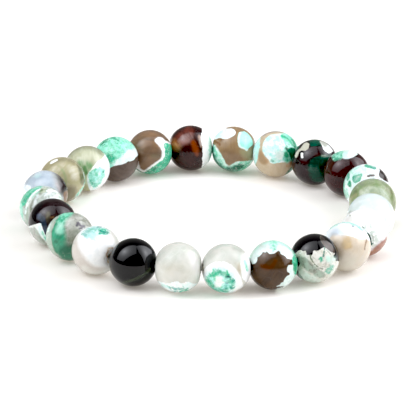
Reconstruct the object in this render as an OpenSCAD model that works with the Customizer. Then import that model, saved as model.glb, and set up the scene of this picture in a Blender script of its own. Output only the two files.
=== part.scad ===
// Stretch bracelet of polished, crackled agate beads on an elastic cord, lying flat.
// Millimetres. The loop lies on the plane z = 0 and the origin is under the middle of its box.
// The beads run anticlockwise as seen from above, from the front left, and each one rests on the plane.

/* [Beads] */
// Diameter of an ordinary bead
bead_d = 8; // [7.6:0.1:8.6]
// Length of an ordinary bead along its hole, between its two flat ends
bead_len = 7.15; // [6.8:0.05:7.2]
// Room left between one bead and the next where they come closest
bead_gap = 0.06; // [0.04:0.01:0.3]

/* [Drilled hole] */
// Diameter of the hole through each bead
bore_d = 1; // [1:0.1:1.6]
// Width of the polished bevel round an ordinary hole's mouth
bevel_w = 0.15; // [0.05:0.05:0.3]
// Width of the chipped bevel round a broken mouth
chip_w = 0.6; // [0.3:0.05:0.8]

/* [Elastic cord] */
// Diameter of the cord, a little stretched by the beads
cord_d = 0.6; // [0.5:0.1:0.8]

/* [Loop] */
// Direction from the middle of the loop to the start of the first bead
loop_start = 208.5; // [0:0.5:360]
// How far the loop bulges two, three and five times round, as a percentage of its radius
oval_pct = 4.7; // [0:0.1:6]
triangle_pct = 1.1; // [0:0.1:1.5]
pentagon_pct = 2.1; // [0:0.1:2.2]

/* [Hidden] */
// One row for each way that the loop bulges: bulges round the loop, percentage, direction of the first bulge
BULGES = [
    [2, oval_pct, 78],
    [3, triangle_pct, 53],
    [5, pentagon_pct, 31],
];

// One row for each bead, in order along the cord. The first two columns are what it has over an ordinary
// bead: diameter, length. Then the bevel round the mouth at its far end, and its main colour.
BEADS = [
    [ 0.0, -0.20, bevel_w, "mediumseagreen"],
    [ 0.0,  0.10, chip_w,  "white"],
    [-0.2,  0.00, bevel_w, "black"],
    [ 0.1, -0.20, bevel_w, "gainsboro"],
    [ 0.0,  0.15, bevel_w, "mintcream"],
    [ 0.0,  0.25, bevel_w, "saddlebrown"],
    [ 0.0,  0.05, bevel_w, "darkslategray"],
    [ 0.1,  0.05, bevel_w, "tan"],
    [ 0.0,  0.10, bevel_w, "whitesmoke"],
    [ 0.1,  0.20, bevel_w, "aliceblue"],
    [ 0.1,  0.20, bevel_w, "darkseagreen"],
    [ 0.0,  0.05, bevel_w, "mediumaquamarine"],
    [ 0.1, -0.05, bevel_w, "maroon"],
    [ 0.1,  0.05, bevel_w, "darkgreen"],
    [ 0.2,  0.25, bevel_w, "paleturquoise"],
    [ 0.1,  0.05, bevel_w, "rosybrown"],
    [ 0.1, -0.05, bevel_w, "brown"],
    [-0.1, -0.20, bevel_w, "dimgray"],
    [ 0.0, -0.35, bevel_w, "aquamarine"],
    [ 0.0, -0.20, bevel_w, "darkkhaki"],
    [-0.1, -0.10, bevel_w, "burlywood"],
    [-0.2, -0.05, bevel_w, "lightsteelblue"],
    [-0.3, -0.05, bevel_w, "silver"],
    [ 0.0, -0.20, bevel_w, "darkolivegreen"],
];
DIAMETER = 0;
LENGTH = 1;
FAR_BEVEL = 2;
COLOUR = 3;

bead_count = len(BEADS);
last = bead_count - 1;
cord_sides = 8;

function total(list, upto) = upto <= 0 ? 0 : list[upto - 1] + total(list, upto - 1);
function sum_all(list) = total(list, len(list));
function next(i) = (i + 1) % bead_count;

// A bead's own diameter and length
function diameter(i) = bead_d + BEADS[i][DIAMETER];
function length_of(i) = bead_len + BEADS[i][LENGTH];

// The bulges' height at direction t, as a share of the loop's radius
function bulge(t) = sum_all([for (b = BULGES) b[1] / 100 * cos(b[0] * (t - b[2]))]);

// How far the cord turns from one bead to the next at direction t, which is more where the loop bulges
function bend(t) = 360 / bead_count
    * (1 + sum_all([for (b = BULGES) (b[0] * b[0] - 1) * b[1] / 100 * cos(b[0] * (t - b[2]))]));

// From a bead's middle along its hole to the corner where the next bead's share of the cord starts:
// the bead's rim, or its round side past the rim, just clears the plane that halves the turn there.
function reach(i, turn) =
    let (rim = acos(length_of(i) / diameter(i)),
         support = diameter(i) / 2 * cos(max(rim - turn / 2, 0)))
    (support + bead_gap / 2) / cos(turn / 2);

share = [for (i = [0 : last])
    reach(i, bend(loop_start + 360 * i / bead_count))
    + reach(i, bend(loop_start + 360 * (i + 1) / bead_count))];
string_len = sum_all(share);
loop_r = string_len / (2 * bead_count * sin(180 / bead_count));

// The direction at which a share u of the way round the bulging loop is reached, settled in a few passes
function direction(u, t, passes) = passes == 0 ? t
    : direction(u, u - sum_all([for (b = BULGES) b[1] / 100 / b[0] * (180 / PI) * sin(b[0] * (t - b[2]))]),
                passes - 1);

// The corners of the string of straight beads, one at the start of each bead's share
corner = [for (i = [0 : last])
    let (u = loop_start + 360 * total(share, i) / string_len,
         t = direction(u, u, 3))
    loop_r * (1 + bulge(t)) * [cos(t), sin(t)]];
loop_middle = [for (i = [0 : last]) (corner[i] + corner[next(i)]) / 2];

// The loop is shifted so that its box is centred on the origin
function box_middle(axis) =
    (max([for (i = [0 : last]) loop_middle[i][axis] + diameter(i) / 2])
     + min([for (i = [0 : last]) loop_middle[i][axis] - diameter(i) / 2])) / 2;
shift = [box_middle(0), box_middle(1)];

// Where each bead's middle lies, and the direction of its hole
function place(i) = [loop_middle[i][0] - shift[0], loop_middle[i][1] - shift[1], diameter(i) / 2];
function heading(i) = let (run = corner[next(i)] - corner[i]) atan2(run[1], run[0]);

function bead_name(i) = str("bead_", i < 9 ? "0" : "", i + 1);

// The cut that bevels a hole's mouth, with the mouth at z = 0 and the hole running down
module mouth(width) {
    proud = 0.05;
    translate([0, 0, -width])
        cylinder(d1 = bore_d, d2 = bore_d + 2 * (width + proud), h = width + proud, $fn = 48);
}

// A ball with two flat ends, drilled through along its middle and bevelled at both mouths
module drilled_ball(d, length, far_bevel) {
    difference() {
        intersection() {
            sphere(d = d, $fn = 96);
            cylinder(d = 2 * d, h = length, center = true, $fn = 96);
        }
        cylinder(d = bore_d, h = 2 * length, center = true, $fn = 48);
        translate([0, 0, length / 2]) mouth(far_bevel);
        mirror([0, 0, 1]) translate([0, 0, length / 2]) mouth(bevel_w);
    }
}

module bead(i) {
    color(BEADS[i][COLOUR])
        translate(place(i)) rotate([0, 0, heading(i)]) rotate([0, 90, 0])
            drilled_ball(diameter(i), length_of(i), BEADS[i][FAR_BEVEL]);
}

// The cord runs straight through each hole and turns between the beads, in one closed ring
cord_path = [for (i = [0 : last], side = [-0.5, 0.5])
    place(i) + side * length_of(i) * [cos(heading(i)), sin(heading(i)), 0]];
cord_heading = [for (i = [0 : last], side = [-0.5, 0.5]) heading(i)];

module elastic_cord() {
    rings = len(cord_path);
    points = [for (r = [0 : rings - 1], s = [0 : cord_sides - 1])
        let (a = 360 * s / cord_sides)
        cord_path[r] + cord_d / 2 * [-sin(cord_heading[r]) * cos(a), cos(cord_heading[r]) * cos(a), sin(a)]];
    faces = [for (r = [0 : rings - 1], s = [0 : cord_sides - 1])
        let (r2 = (r + 1) % rings, s2 = (s + 1) % cord_sides)
        [r * cord_sides + s, r * cord_sides + s2, r2 * cord_sides + s2, r2 * cord_sides + s]];
    color("whitesmoke") polyhedron(points, faces);
}

for (i = [0 : last]) bead(i);
elastic_cord();
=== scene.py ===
"""Looks of the beaded bracelet: dyed and crackled agate beads on an elastic cord, on a white floor.

Each bead is a turned surface laid over its CAD bead. Its markings are outlines charted on the
photograph. They are kept on the mesh as distances in mm, which the stone's material turns into patches with
broken edges.
"""
import math

import bpy
import numpy as np
from mathutils import Matrix


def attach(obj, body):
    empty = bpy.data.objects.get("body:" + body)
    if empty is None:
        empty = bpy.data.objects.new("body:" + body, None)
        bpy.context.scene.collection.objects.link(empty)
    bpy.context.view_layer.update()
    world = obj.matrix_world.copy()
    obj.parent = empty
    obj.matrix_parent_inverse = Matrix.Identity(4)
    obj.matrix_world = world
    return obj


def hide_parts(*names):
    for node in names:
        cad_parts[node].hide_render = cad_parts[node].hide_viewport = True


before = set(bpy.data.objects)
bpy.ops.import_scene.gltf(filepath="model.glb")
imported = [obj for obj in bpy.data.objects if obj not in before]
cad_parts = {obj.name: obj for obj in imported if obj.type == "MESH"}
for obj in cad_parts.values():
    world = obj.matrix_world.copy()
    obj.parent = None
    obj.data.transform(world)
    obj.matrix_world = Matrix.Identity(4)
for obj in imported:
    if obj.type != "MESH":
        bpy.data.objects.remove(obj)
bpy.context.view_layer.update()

MM = 0.001
UP = np.array([0.0, 0.0, 1.0])

# A length that is too small to divide by.
TINY = 1e-9

# The camera, in mm and degrees, as fitted to the outlines of all the beads in the photograph, and the
# nearest and farthest that it sees, in m.
PHOTO_PX = 416
VIEW_HEIGHT = math.radians(19.56)
VIEW_TILT = math.radians(1.65)
VIEW_FAR = 521.5
VIEW_AIM = np.array([-0.17, -1.37, 4.0])
FOCAL_PX = 3094.0
SENSOR_MM = 36.0
NEAREST = 0.01
FARTHEST = 20.0

# Soft boxes: name, middle, direction of one side, direction of the other, and the two side lengths in mm.
# Then the glow, how much more the lamp inside adds, where on the box that is, in mm from its middle, and
# how far it spreads.
SOFT_BOXES = [
    ("left_soft_box", (-465, -333, 684), (-0.85, -0.23, -0.48), (-0.17, 0.97, -0.16), 1596, 930,
     1.0, 5.8, (0, -205), 222),
    ("right_soft_box", (504, -127.5, 848), (0.05, -0.02, -1.0), (-0.52, 0.85, -0.04), 1450, 1000,
     1.0, 6.0, (460, 170), 225),
]
LAMP_TINT = (0.96, 0.98, 1.03)

# The power for each square metre at which a soft box shows a glow of 1.
GLOW_TO_WATTS = math.pi

# The dim room round the bracelet, and how much the darkest tones are deepened.
SKY_GLOW = 0.34
SKY_WARMTH = (1.0, 0.98, 0.96, 1.0)
BLACK_LEVEL = 0.022

# The turned bead, in mm: the flat that is left round its hole, the room between it and the next bead's,
# its hole, the chipped hollow round one bead's hole, and how much hand polishing takes off.
HUB_R = 0.95
HUB_ROOM = 0.04
BORE_R = 0.5
BEVEL = 0.15
CHIPPED = "bead_02"
CHIP_R = 1.35
CHIP_DEPTH = 0.16
POLISH_DIP = 0.035

# Waves in the chipped hollow's rim: how many there are round it, their height as a share, and their
# start.
CHIP_WAVES = ((3, 0.07, 1), (7, 0.05, 0), (13, 0.04, 2))

# Points round a bead, and along each part of its profile.
ROUND_POINTS = 112
BALL_POINTS = 80
SHOULDER_POINTS = 12
HUB_POINTS = 6
MOUTH_POINTS = 5
WALL_POINTS = 8

# A CAD bead's points that are nearer to its middle than this share of its radius lie on its ends and
# hole.
INNER_SHARE = 0.97

# Slow unevenness: how many sine waves cross, and how steeply each one runs over a direction.
WAVES = 3
WAVE_PACE = 1.8

# How far waves shift a chart on a bead's hidden side, in mm for each radian past the outline, and their
# seeds.
HIDDEN_DRIFT = 1.5
DRIFT_SEEDS = (100, 200)

# The elastic: radius in mm, points round it, and points along each stretch of it.
CORD_R = 0.3
CORD_SIDES = 16
CORD_STEPS = 5

# The curve from a colour as the eye reads it to light: straight up to a step, and a power above it.
EYE_FULL = 255
EYE_STEP = 0.04045
EYE_SLOPE = 12.92
EYE_LIFT = 0.055
EYE_POWER = 2.4

# Clouds and crackle: the clouds' noise, how much finer the grain's is, and how far the grain warps the
# crackle, in mm. The two colours part over PARTING of the noise to each side of its middle, less
# PARTING_FALL for each unit of contrast. Crackle comes up where slow noise rises through CRACKLE_PLACES,
# and each of its lines fades out over CRACKLE_WIDTH, in mm.
CLOUD_DETAIL = 3.0
CLOUD_SWIRL = 0.9
GRAIN_FINER = 5.0
GRAIN_DETAIL = 4.0
GRAIN_ROUGHNESS = 0.7
CRACKLE_WARP = 0.6
PARTING = 0.28
PARTING_FALL = 0.24
CRACKLE_PLACES = (0.42, 0.6)
CRACKLE_WIDTH = 0.07

# Broken edges: the noise that moves them, for each mm, and how far its whole range moves them, in times
# their raggedness.
EDGE_NOISE = 1.6
EDGE_DETAIL = 5.0
EDGE_ROUGHNESS = 0.65
EDGE_REACH = 6.0

# The polish: its roughness, and how much rougher crackle is. Haze and pits are noise for each mm. Pits
# come up where theirs rises through PIT_PLACES, and go down by PIT_SHARE of the relief. Then the strength
# and the height, in mm, of the relief.
POLISH_ROUGHNESS = 0.08
CRACKLE_ROUGHNESS = 0.12
HAZE_NOISE = 0.8
PIT_NOISE = 6.0
PIT_ROUGHNESS = 0.6
POLISH_DETAIL = 3.0
PIT_PLACES = (0.66, 0.74)
PIT_SHARE = 0.4
POLISH_BUMP = 0.5
POLISH_HEIGHT = 0.01

# The stone: how much it bends light, how deep each colour goes in as a share of a bead's depth, and how
# each bead's own number turns and shifts its clouds.
STONE_IOR = 1.5
STONE_DEPTHS = (1.0, 0.95, 0.88)
STONE_TURN = (1.1, 0.7, 2.3)
STONE_SHIFT = (13.7, 5.1, 9.3)

# The elastic's finish, with its ribs of noise for each m and their height in mm.
ELASTIC_IOR = 1.45
ELASTIC_ROUGHNESS = 0.15
ELASTIC_CLEAR = 0.95
RIB_NOISE = 3000.0
RIB_DETAIL = 3.0
RIB_BUMP = 0.3
RIB_HEIGHT = 0.02

# The floor: how far it reaches, in mm, its two whites and the noise between them, for each m, and its own
# glow.
FLOOR_REACH = 1500.0
FLOOR_WHITES = ((0.80, 0.785, 0.76, 1.0), (0.78, 0.765, 0.74, 1.0))
FLOOR_NOISE = 40.0
FLOOR_DETAIL = 4.0
FLOOR_ROUGHNESS = 0.6
FLOOR_GLOW = 0.18
FLOOR_GLOW_TINT = (1.0, 0.91, 0.80, 1.0)


def camera_axes():
    """The camera's right, up and backward directions: level, raised by VIEW_HEIGHT, then turned by
    VIEW_TILT."""
    level = np.array([1.0, 0.0, 0.0])
    back = np.array([0.0, -math.cos(VIEW_HEIGHT), math.sin(VIEW_HEIGHT)])
    above = np.cross(back, level)
    right = math.cos(VIEW_TILT) * level + math.sin(VIEW_TILT) * above
    up = math.cos(VIEW_TILT) * above - math.sin(VIEW_TILT) * level
    return right, up, back


RIGHT, ABOVE, BACK = camera_axes()
EYE = VIEW_AIM + VIEW_FAR * BACK


def photo_points(points):
    """Where points in mm show in the photograph: their sideways and upward distances over their depth,
    times the focal length, counted in px from the frame's top left corner."""
    away = points - EYE
    depth = -(away @ BACK)
    across = PHOTO_PX / 2 + FOCAL_PX * (away @ RIGHT) / depth
    down = PHOTO_PX / 2 - FOCAL_PX * (away @ ABOVE) / depth
    return np.stack([across, down], axis=-1)


def stand(thing, x, y, z, middle):
    """Puts a lamp or camera in the scene with its own three axes along x, y and z, and its middle in
    mm."""
    turn = np.eye(4)
    turn[:3, 0] = x
    turn[:3, 1] = y
    turn[:3, 2] = z
    turn[:3, 3] = np.array(middle) * MM
    thing.matrix_world = Matrix(turn.tolist())
    bpy.context.scene.collection.objects.link(thing)


def fill(tree, node, values):
    """Fills a node's inputs, each with a socket to link or with a plain value."""
    for name, value in values.items():
        if isinstance(value, bpy.types.NodeSocket):
            tree.links.new(value, node.inputs[name])
        else:
            node.inputs[name].default_value = value


def put(tree, kind, values=(), **settings):
    """Adds a node, sets its settings and fills its inputs."""
    made = tree.nodes.new(kind)
    for key, setting in settings.items():
        setattr(made, key, setting)
    fill(tree, made, dict(values))
    return made


def sums(tree, operation, first, second):
    """One sum on two values or sockets, and its result."""
    return put(tree, "ShaderNodeMath", {0: first, 1: second}, operation=operation).outputs[0]


def vector_sum(tree, operation, first, second, third=(0, 0, 0)):
    """One sum on vectors or sockets, and its result."""
    values = {0: first, 1: second, 2: third}
    return put(tree, "ShaderNodeVectorMath", values, operation=operation).outputs[0]


def mix(tree, share, first, second):
    """Two values mixed by a share, and the result. A mix node keeps its values in sockets 2 and 3."""
    return put(tree, "ShaderNodeMix", {0: share, 2: first, 3: second}).outputs[0]


def blend(tree, share, first, second):
    """Two colours mixed by a share, and the result. A mix node keeps its colours in sockets 6 and 7."""
    return put(tree, "ShaderNodeMix", {0: share, 6: first, 7: second}, data_type="RGBA").outputs[2]


def noise(tree, place, scale, detail, **more):
    """Soft noise at a place, with its further inputs by name."""
    values = {"Vector": place, "Scale": scale, "Detail": detail, **more}
    return put(tree, "ShaderNodeTexNoise", values).outputs


def smooth_rise(tree, value, low, high):
    """A smooth rise from 0 to 1 as a value goes from low to high."""
    values = {"Value": value, "From Min": low, "From Max": high}
    return put(tree, "ShaderNodeMapRange", values, interpolation_type="SMOOTHSTEP").outputs[0]


def set_camera():
    """A camera at EYE that looks against BACK, with the lens that gives FOCAL_PX."""
    lens = bpy.data.cameras.new("photo_camera")
    lens.sensor_width = SENSOR_MM
    lens.lens = FOCAL_PX * SENSOR_MM / PHOTO_PX
    lens.clip_start = NEAREST
    lens.clip_end = FARTHEST
    camera = bpy.data.objects.new("photo_camera", lens)
    stand(camera, RIGHT, ABOVE, BACK, EYE)
    bpy.context.scene.camera = camera


def set_soft_box(name, middle, side, other_side, width, height, glow, lamp_glow, lamp_place, spread):
    """A large soft box that faces the bracelet. It glows by the same amount all over, and by more near
    the lamp inside: that part falls off as e to the power of minus the distance over the spread."""
    x = np.array(side) / np.linalg.norm(side)
    z = np.cross(x, np.array(other_side))
    z /= np.linalg.norm(z)
    if z @ np.array(middle) < 0:
        z = -z
    lamp = bpy.data.lights.new(name, "AREA")
    lamp.shape = "RECTANGLE"
    lamp.size = width * MM
    lamp.size_y = height * MM
    lamp.energy = GLOW_TO_WATTS * lamp.size * lamp.size_y
    lamp.color = LAMP_TINT
    lamp.use_nodes = True
    tree = lamp.node_tree
    share = put(tree, "ShaderNodeNewGeometry").outputs["Parametric"]
    place = vector_sum(tree, "MULTIPLY", share, (width, height, 0))
    lamp_at = (width / 2 + lamp_place[0], height / 2 + lamp_place[1], 0)
    away = put(tree, "ShaderNodeVectorMath", {0: place, 1: lamp_at}, operation="DISTANCE").outputs["Value"]
    fall = sums(tree, "POWER", math.e, sums(tree, "DIVIDE", away, -spread))
    total = sums(tree, "ADD", glow, sums(tree, "MULTIPLY", fall, lamp_glow))
    fill(tree, tree.nodes["Emission"], {"Strength": total})
    stand(bpy.data.objects.new(name, lamp), x, np.cross(z, x), z, middle)


def set_room():
    """A dim room that is the same all round, and plain tones with the darkest ones deepened."""
    room = bpy.data.worlds.new("room")
    room.use_nodes = True
    tree = room.node_tree
    fill(tree, tree.nodes["Background"], {"Color": SKY_WARMTH, "Strength": SKY_GLOW})
    bpy.context.scene.world = room
    view = bpy.context.scene.view_settings
    view.view_transform = "Standard"
    view.use_curve_mapping = True
    view.curve_mapping.black_level = (BLACK_LEVEL, BLACK_LEVEL, BLACK_LEVEL)


def put_mesh(name, points, faces, material, smooth=True):
    """A mesh object at the origin from points in mm and faces of four."""
    mesh = bpy.data.meshes.new(name)
    mesh.vertices.add(len(points))
    mesh.vertices.foreach_set("co", (points * MM).astype(np.float32).ravel())
    mesh.loops.add(faces.size)
    mesh.loops.foreach_set("vertex_index", faces.astype(np.int32).ravel())
    mesh.polygons.add(len(faces))
    mesh.polygons.foreach_set("loop_start", np.arange(len(faces), dtype=np.int32) * 4)
    mesh.polygons.foreach_set("use_smooth", np.full(len(faces), smooth))
    mesh.update()
    mesh.validate()
    mesh.materials.append(material)
    piece = bpy.data.objects.new(name, mesh)
    bpy.context.scene.collection.objects.link(piece)
    return piece


def ring_faces(rows, columns):
    """Faces of four on a grid that closes both ways, like a ring's skin."""
    row, column = np.meshgrid(np.arange(rows), np.arange(columns), indexing="ij")
    next_row = (row + 1) % rows
    next_column = (column + 1) % columns
    corners = [row * columns + column, row * columns + next_column,
               next_row * columns + next_column, next_row * columns + column]
    return np.stack(corners, axis=-1).reshape(-1, 4)


def bead_name(number):
    """The CAD node of a bead, counted along the cord from 1."""
    return f"bead_{number:02d}"


def bead_facts(name):
    """What a CAD bead says of itself: its middle, the direction of its hole towards the next bead, its
    radius and half its length. Points well inside the ball's radius lie on the flat ends and the hole,
    and the line that they spread along most is the hole's."""
    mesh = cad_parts[name].data
    points = np.empty(len(mesh.vertices) * 3, np.float32)
    mesh.vertices.foreach_get("co", points)
    points = points.reshape(-1, 3).astype(float) / MM
    middle = (points.min(axis=0) + points.max(axis=0)) / 2
    away = points - middle
    reach = np.linalg.norm(away, axis=1)
    radius = reach.max()
    inner = away[reach < INNER_SHARE * radius]
    line = np.linalg.eigh(inner.T @ inner)[1][:, 2]
    if np.cross(middle, line)[2] < 0:
        line = -line
    return middle, line, radius, np.abs(away @ line).max()


def hub_halves(facts):
    """Half lengths of each bead towards the one before it and the one after it. The hubs of neighbours
    reach into the wedge between their flat ends until HUB_ROOM is left where they come closest."""
    gains = []
    for here, after in zip(facts, facts[1:] + facts[:1]):
        between = (after[0] - after[3] * after[1]) - (here[0] + here[3] * here[1])
        lean = math.acos(here[1] @ after[1]) / 2
        room = np.linalg.norm(between) - 2 * HUB_R * math.sin(lean)
        gains.append((room - HUB_ROOM) / 2)
    return [(fact[3] + gains[i - 1], fact[3] + gains[i]) for i, fact in enumerate(facts)]


def end_section(radius, half, towards):
    """One end's shoulder, as distances along the hole and out from it, and the angle at which it meets
    the ball. It is an arc from the flat hub's edge that touches both the hub and the ball."""
    shoulder = (radius + half - HUB_R ** 2 / (radius - half)) / 2
    lean = math.atan2(HUB_R, half - shoulder)
    bend = np.linspace(0, lean, SHOULDER_POINTS)
    along = towards * (half - shoulder + shoulder * np.cos(bend))
    return along, HUB_R + shoulder * np.sin(bend), lean


def bead_profile(radius, near_half, far_half):
    """The closed line that is turned round the hole, as distances along it and out from it. It runs over
    the far shoulder, the ball, the near shoulder, the near hub, the hole and the far hub."""
    far_along, far_out, far_lean = end_section(radius, far_half, 1)
    near_along, near_out, near_lean = end_section(radius, near_half, -1)
    ball = np.linspace(far_lean, math.pi - near_lean, BALL_POINTS)[1:-1]
    flat = np.linspace(0, 1, HUB_POINTS)[1:]
    round_mouth = np.linspace(0, math.pi / 2, MOUTH_POINTS)[1:]
    wall = np.linspace(0, 1, WALL_POINTS)[1:-1]
    rim = BORE_R + BEVEL
    bore_start = BEVEL - near_half
    bore_stop = far_half - BEVEL
    sections = [
        (far_along, far_out),
        (radius * np.cos(ball), radius * np.sin(ball)),
        (near_along[::-1], near_out[::-1]),
        (-near_half + 0 * flat, HUB_R + (rim - HUB_R) * flat),
        (-near_half + BEVEL * np.sin(round_mouth) ** 2, rim - BEVEL * np.sin(round_mouth)),
        (bore_start + (bore_stop - bore_start) * wall, BORE_R + 0 * wall),
        (far_half - BEVEL * np.sin(round_mouth[::-1]) ** 2, rim - BEVEL * np.sin(round_mouth[::-1])),
        (far_half + 0 * flat, rim + (HUB_R - rim) * (flat - flat[0])),
    ]
    along = np.concatenate([section[0] for section in sections])
    out = np.concatenate([section[1] for section in sections])
    return along, out


def slow_waves(directions, seed):
    """A slow unevenness between 0 and 1 over directions: crossed sine waves of seeded headings, added
    up."""
    rng = np.random.default_rng(seed)
    total = np.zeros(directions.shape[:-1])
    for _ in range(WAVES):
        total += np.sin(directions @ rng.normal(0.0, WAVE_PACE, 3) + rng.uniform(0, 2 * math.pi))
    return 0.5 + total / (2 * WAVES)


def bead_surface(number, name, facts, halves):
    """The turned bead's points: along the hole, and out from it by the profile's distance in every
    direction round it, less the slight dip that hand polishing leaves. On the chipped bead, points within
    a ragged round of the far mouth sink by a dish, the root of one less the square of how far out they
    lie."""
    middle, line, radius, _ = facts
    side = np.cross(UP, line)
    turn = np.arange(ROUND_POINTS)[:, None] * (2 * math.pi / ROUND_POINTS)
    along, out = bead_profile(radius, *halves)
    along = along + 0 * turn
    out = out + 0 * turn
    if name == CHIPPED:
        ragged = 1 + 0 * turn
        for count, height, start in CHIP_WAVES:
            ragged = ragged + height * np.sin(count * turn + start)
        sunk = np.sqrt(np.maximum(1 - (out / (CHIP_R * ragged)) ** 2, 0))
        along = along - np.where(along > 0, CHIP_DEPTH * sunk, 0)
    compass = np.cos(turn)[..., None] * UP + np.sin(turn)[..., None] * side
    points = along[..., None] * line + out[..., None] * compass
    dip = POLISH_DIP * slow_waves(points / radius, number) * (out / radius) ** 2
    points -= dip[..., None] * compass
    return middle + points.reshape(-1, 3), along.shape[1]


def chart_points(points, middle, seed):
    """Where a bead's points lie on its chart, and the chart's px for each mm. On the side that the
    photograph shows, that is where they show in it. Past the outline the chart goes on outwards instead
    of folding back under itself, as far as the point has turned away, and slow waves shift it a little,
    so that the hidden side has its own shapes."""
    away = points - middle
    reach = np.linalg.norm(away, axis=1)
    toward = (EYE - middle) / np.linalg.norm(EYE - middle)
    lean = np.arccos(np.clip(away @ toward / reach, -1, 1))
    heading = np.stack([away @ RIGHT, -(away @ ABOVE)], axis=1)
    heading /= np.maximum(np.linalg.norm(heading, axis=1), TINY)[:, None]
    hidden = np.maximum(lean - math.pi / 2, 0)
    px_per_mm = FOCAL_PX / np.linalg.norm(EYE - middle)
    unfolded = px_per_mm * reach * (1 + hidden - np.cos(hidden))
    waves = np.stack([slow_waves(away / reach[:, None], seed + more) for more in DRIFT_SEEDS], axis=1)
    drift = HIDDEN_DRIFT * px_per_mm * hidden[:, None] * (waves - 0.5)
    return photo_points(points) + unfolded[:, None] * heading + drift, px_per_mm


def cut_corners(line, closed, passes=2):
    """Rounds a line: each pass puts two points on every side, a quarter of the way from its ends."""
    for _ in range(passes):
        ahead = np.roll(line, -1, axis=0)
        rounded = np.stack([0.75 * line + 0.25 * ahead, 0.25 * line + 0.75 * ahead], axis=1)
        rounded = rounded.reshape(-1, 2)
        line = rounded if closed else np.concatenate([line[:1], rounded[1:-3], line[-1:]])
    return line


def distance_to(points, line, closed):
    """The least distance from each point to a line's straight stretches."""
    start = line if closed else line[:-1]
    run = (np.roll(line, -1, axis=0) if closed else line[1:]) - start
    best = np.full(len(points), np.inf)
    for corner, stretch in zip(start, run):
        share = np.clip((points - corner) @ stretch / max(stretch @ stretch, TINY), 0, 1)
        best = np.minimum(best, np.linalg.norm(points - corner - share[:, None] * stretch, axis=1))
    return best


def within(points, outline):
    """True for points that an outline goes round: a level ray from them crosses it an odd number of
    times."""
    inside = np.zeros(len(points), bool)
    for (x1, y1), (x2, y2) in zip(outline, np.roll(outline, -1, axis=0)):
        if y1 != y2:
            level = (y1 > points[:, 1]) != (y2 > points[:, 1])
            inside ^= level & (points[:, 0] < x1 + (points[:, 1] - y1) * (x2 - x1) / (y2 - y1))
    return inside


def depth_inside(points, marking):
    """How far inside a marking each chart point lies, in px, and below zero outside it."""
    line = np.array(marking["line"], float).reshape(-1, 2)
    width = marking["width"]
    closed = width is None
    if not marking["sharp"] and len(line) > 2:
        line = cut_corners(line, closed)
    distance = distance_to(points, line, closed)
    if closed:
        return np.where(within(points, line), distance, -distance)
    return width / 2 - distance


def patch(kind, light, deep, line, ragged=0.08, blur=0.12, sharp=False, share=1.0, width=None):
    """A marking inside a closed outline, given as x, y, x, y and so on in photo px. Its edge wanders by
    ragged and fades over blur, both in mm, and it covers what lies under it by its share. A sharp outline
    keeps its corners."""
    return dict(kind=kind, light=light, deep=deep, line=line, ragged=ragged, blur=blur, sharp=sharp,
                share=share, width=width)


def vein(kind, light, deep, width, line, ragged=0.05, blur=0.2, share=1.0):
    """A marking along an open line in photo px, with its width in px."""
    return patch(kind, light, deep, line, ragged, blur, False, share, width)


def bead(kind, light, deep, glow, depth, /, **markings):
    """A bead's main stone, how much light goes into it and how deep, in mm, and its markings in order."""
    return dict(kind=kind, light=light, deep=deep, glow=glow, depth=depth, markings=markings)


# Kinds of stone. Cloud: size of the clouds in mm. Grain: share of fine grain in them. Mosaic: share of a
# value of its own in every crackle cell. Contrast: how sharply light and deep colours part. Bands: how
# many times the clouds are squeezed into bands. Crack, Lines and Cell: the crackle's colour, its strength
# and its cell size in mm.
STONE_VALUES = ("Cloud", "Grain", "Mosaic", "Contrast", "Bands", "Crack", "Lines", "Cell")
KINDS = {
    "clear":    (3.0, 0.20, 0.00, 0.30, 3.0, "frost", 0.02, 1.6),
    "milky":    (2.2, 0.20, 0.05, 0.30, 1.8, "frost", 0.15, 1.2),
    "frosted":  (1.0, 0.45, 0.20, 0.50, 1.3, "frost", 0.25, 0.6),
    "dyed":     (0.9, 0.45, 0.35, 0.75, 1.2, "frost", 0.30, 0.5),
    "speckled": (0.5, 0.50, 0.50, 0.95, 1.0, "frost", 0.30, 0.4),
    "crazed":   (1.4, 0.35, 0.25, 0.50, 1.5, "flint", 0.45, 0.8),
    "solid":    (4.0, 0.10, 0.00, 0.10, 1.0, "soot", 0.00, 1.0),
}

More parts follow.
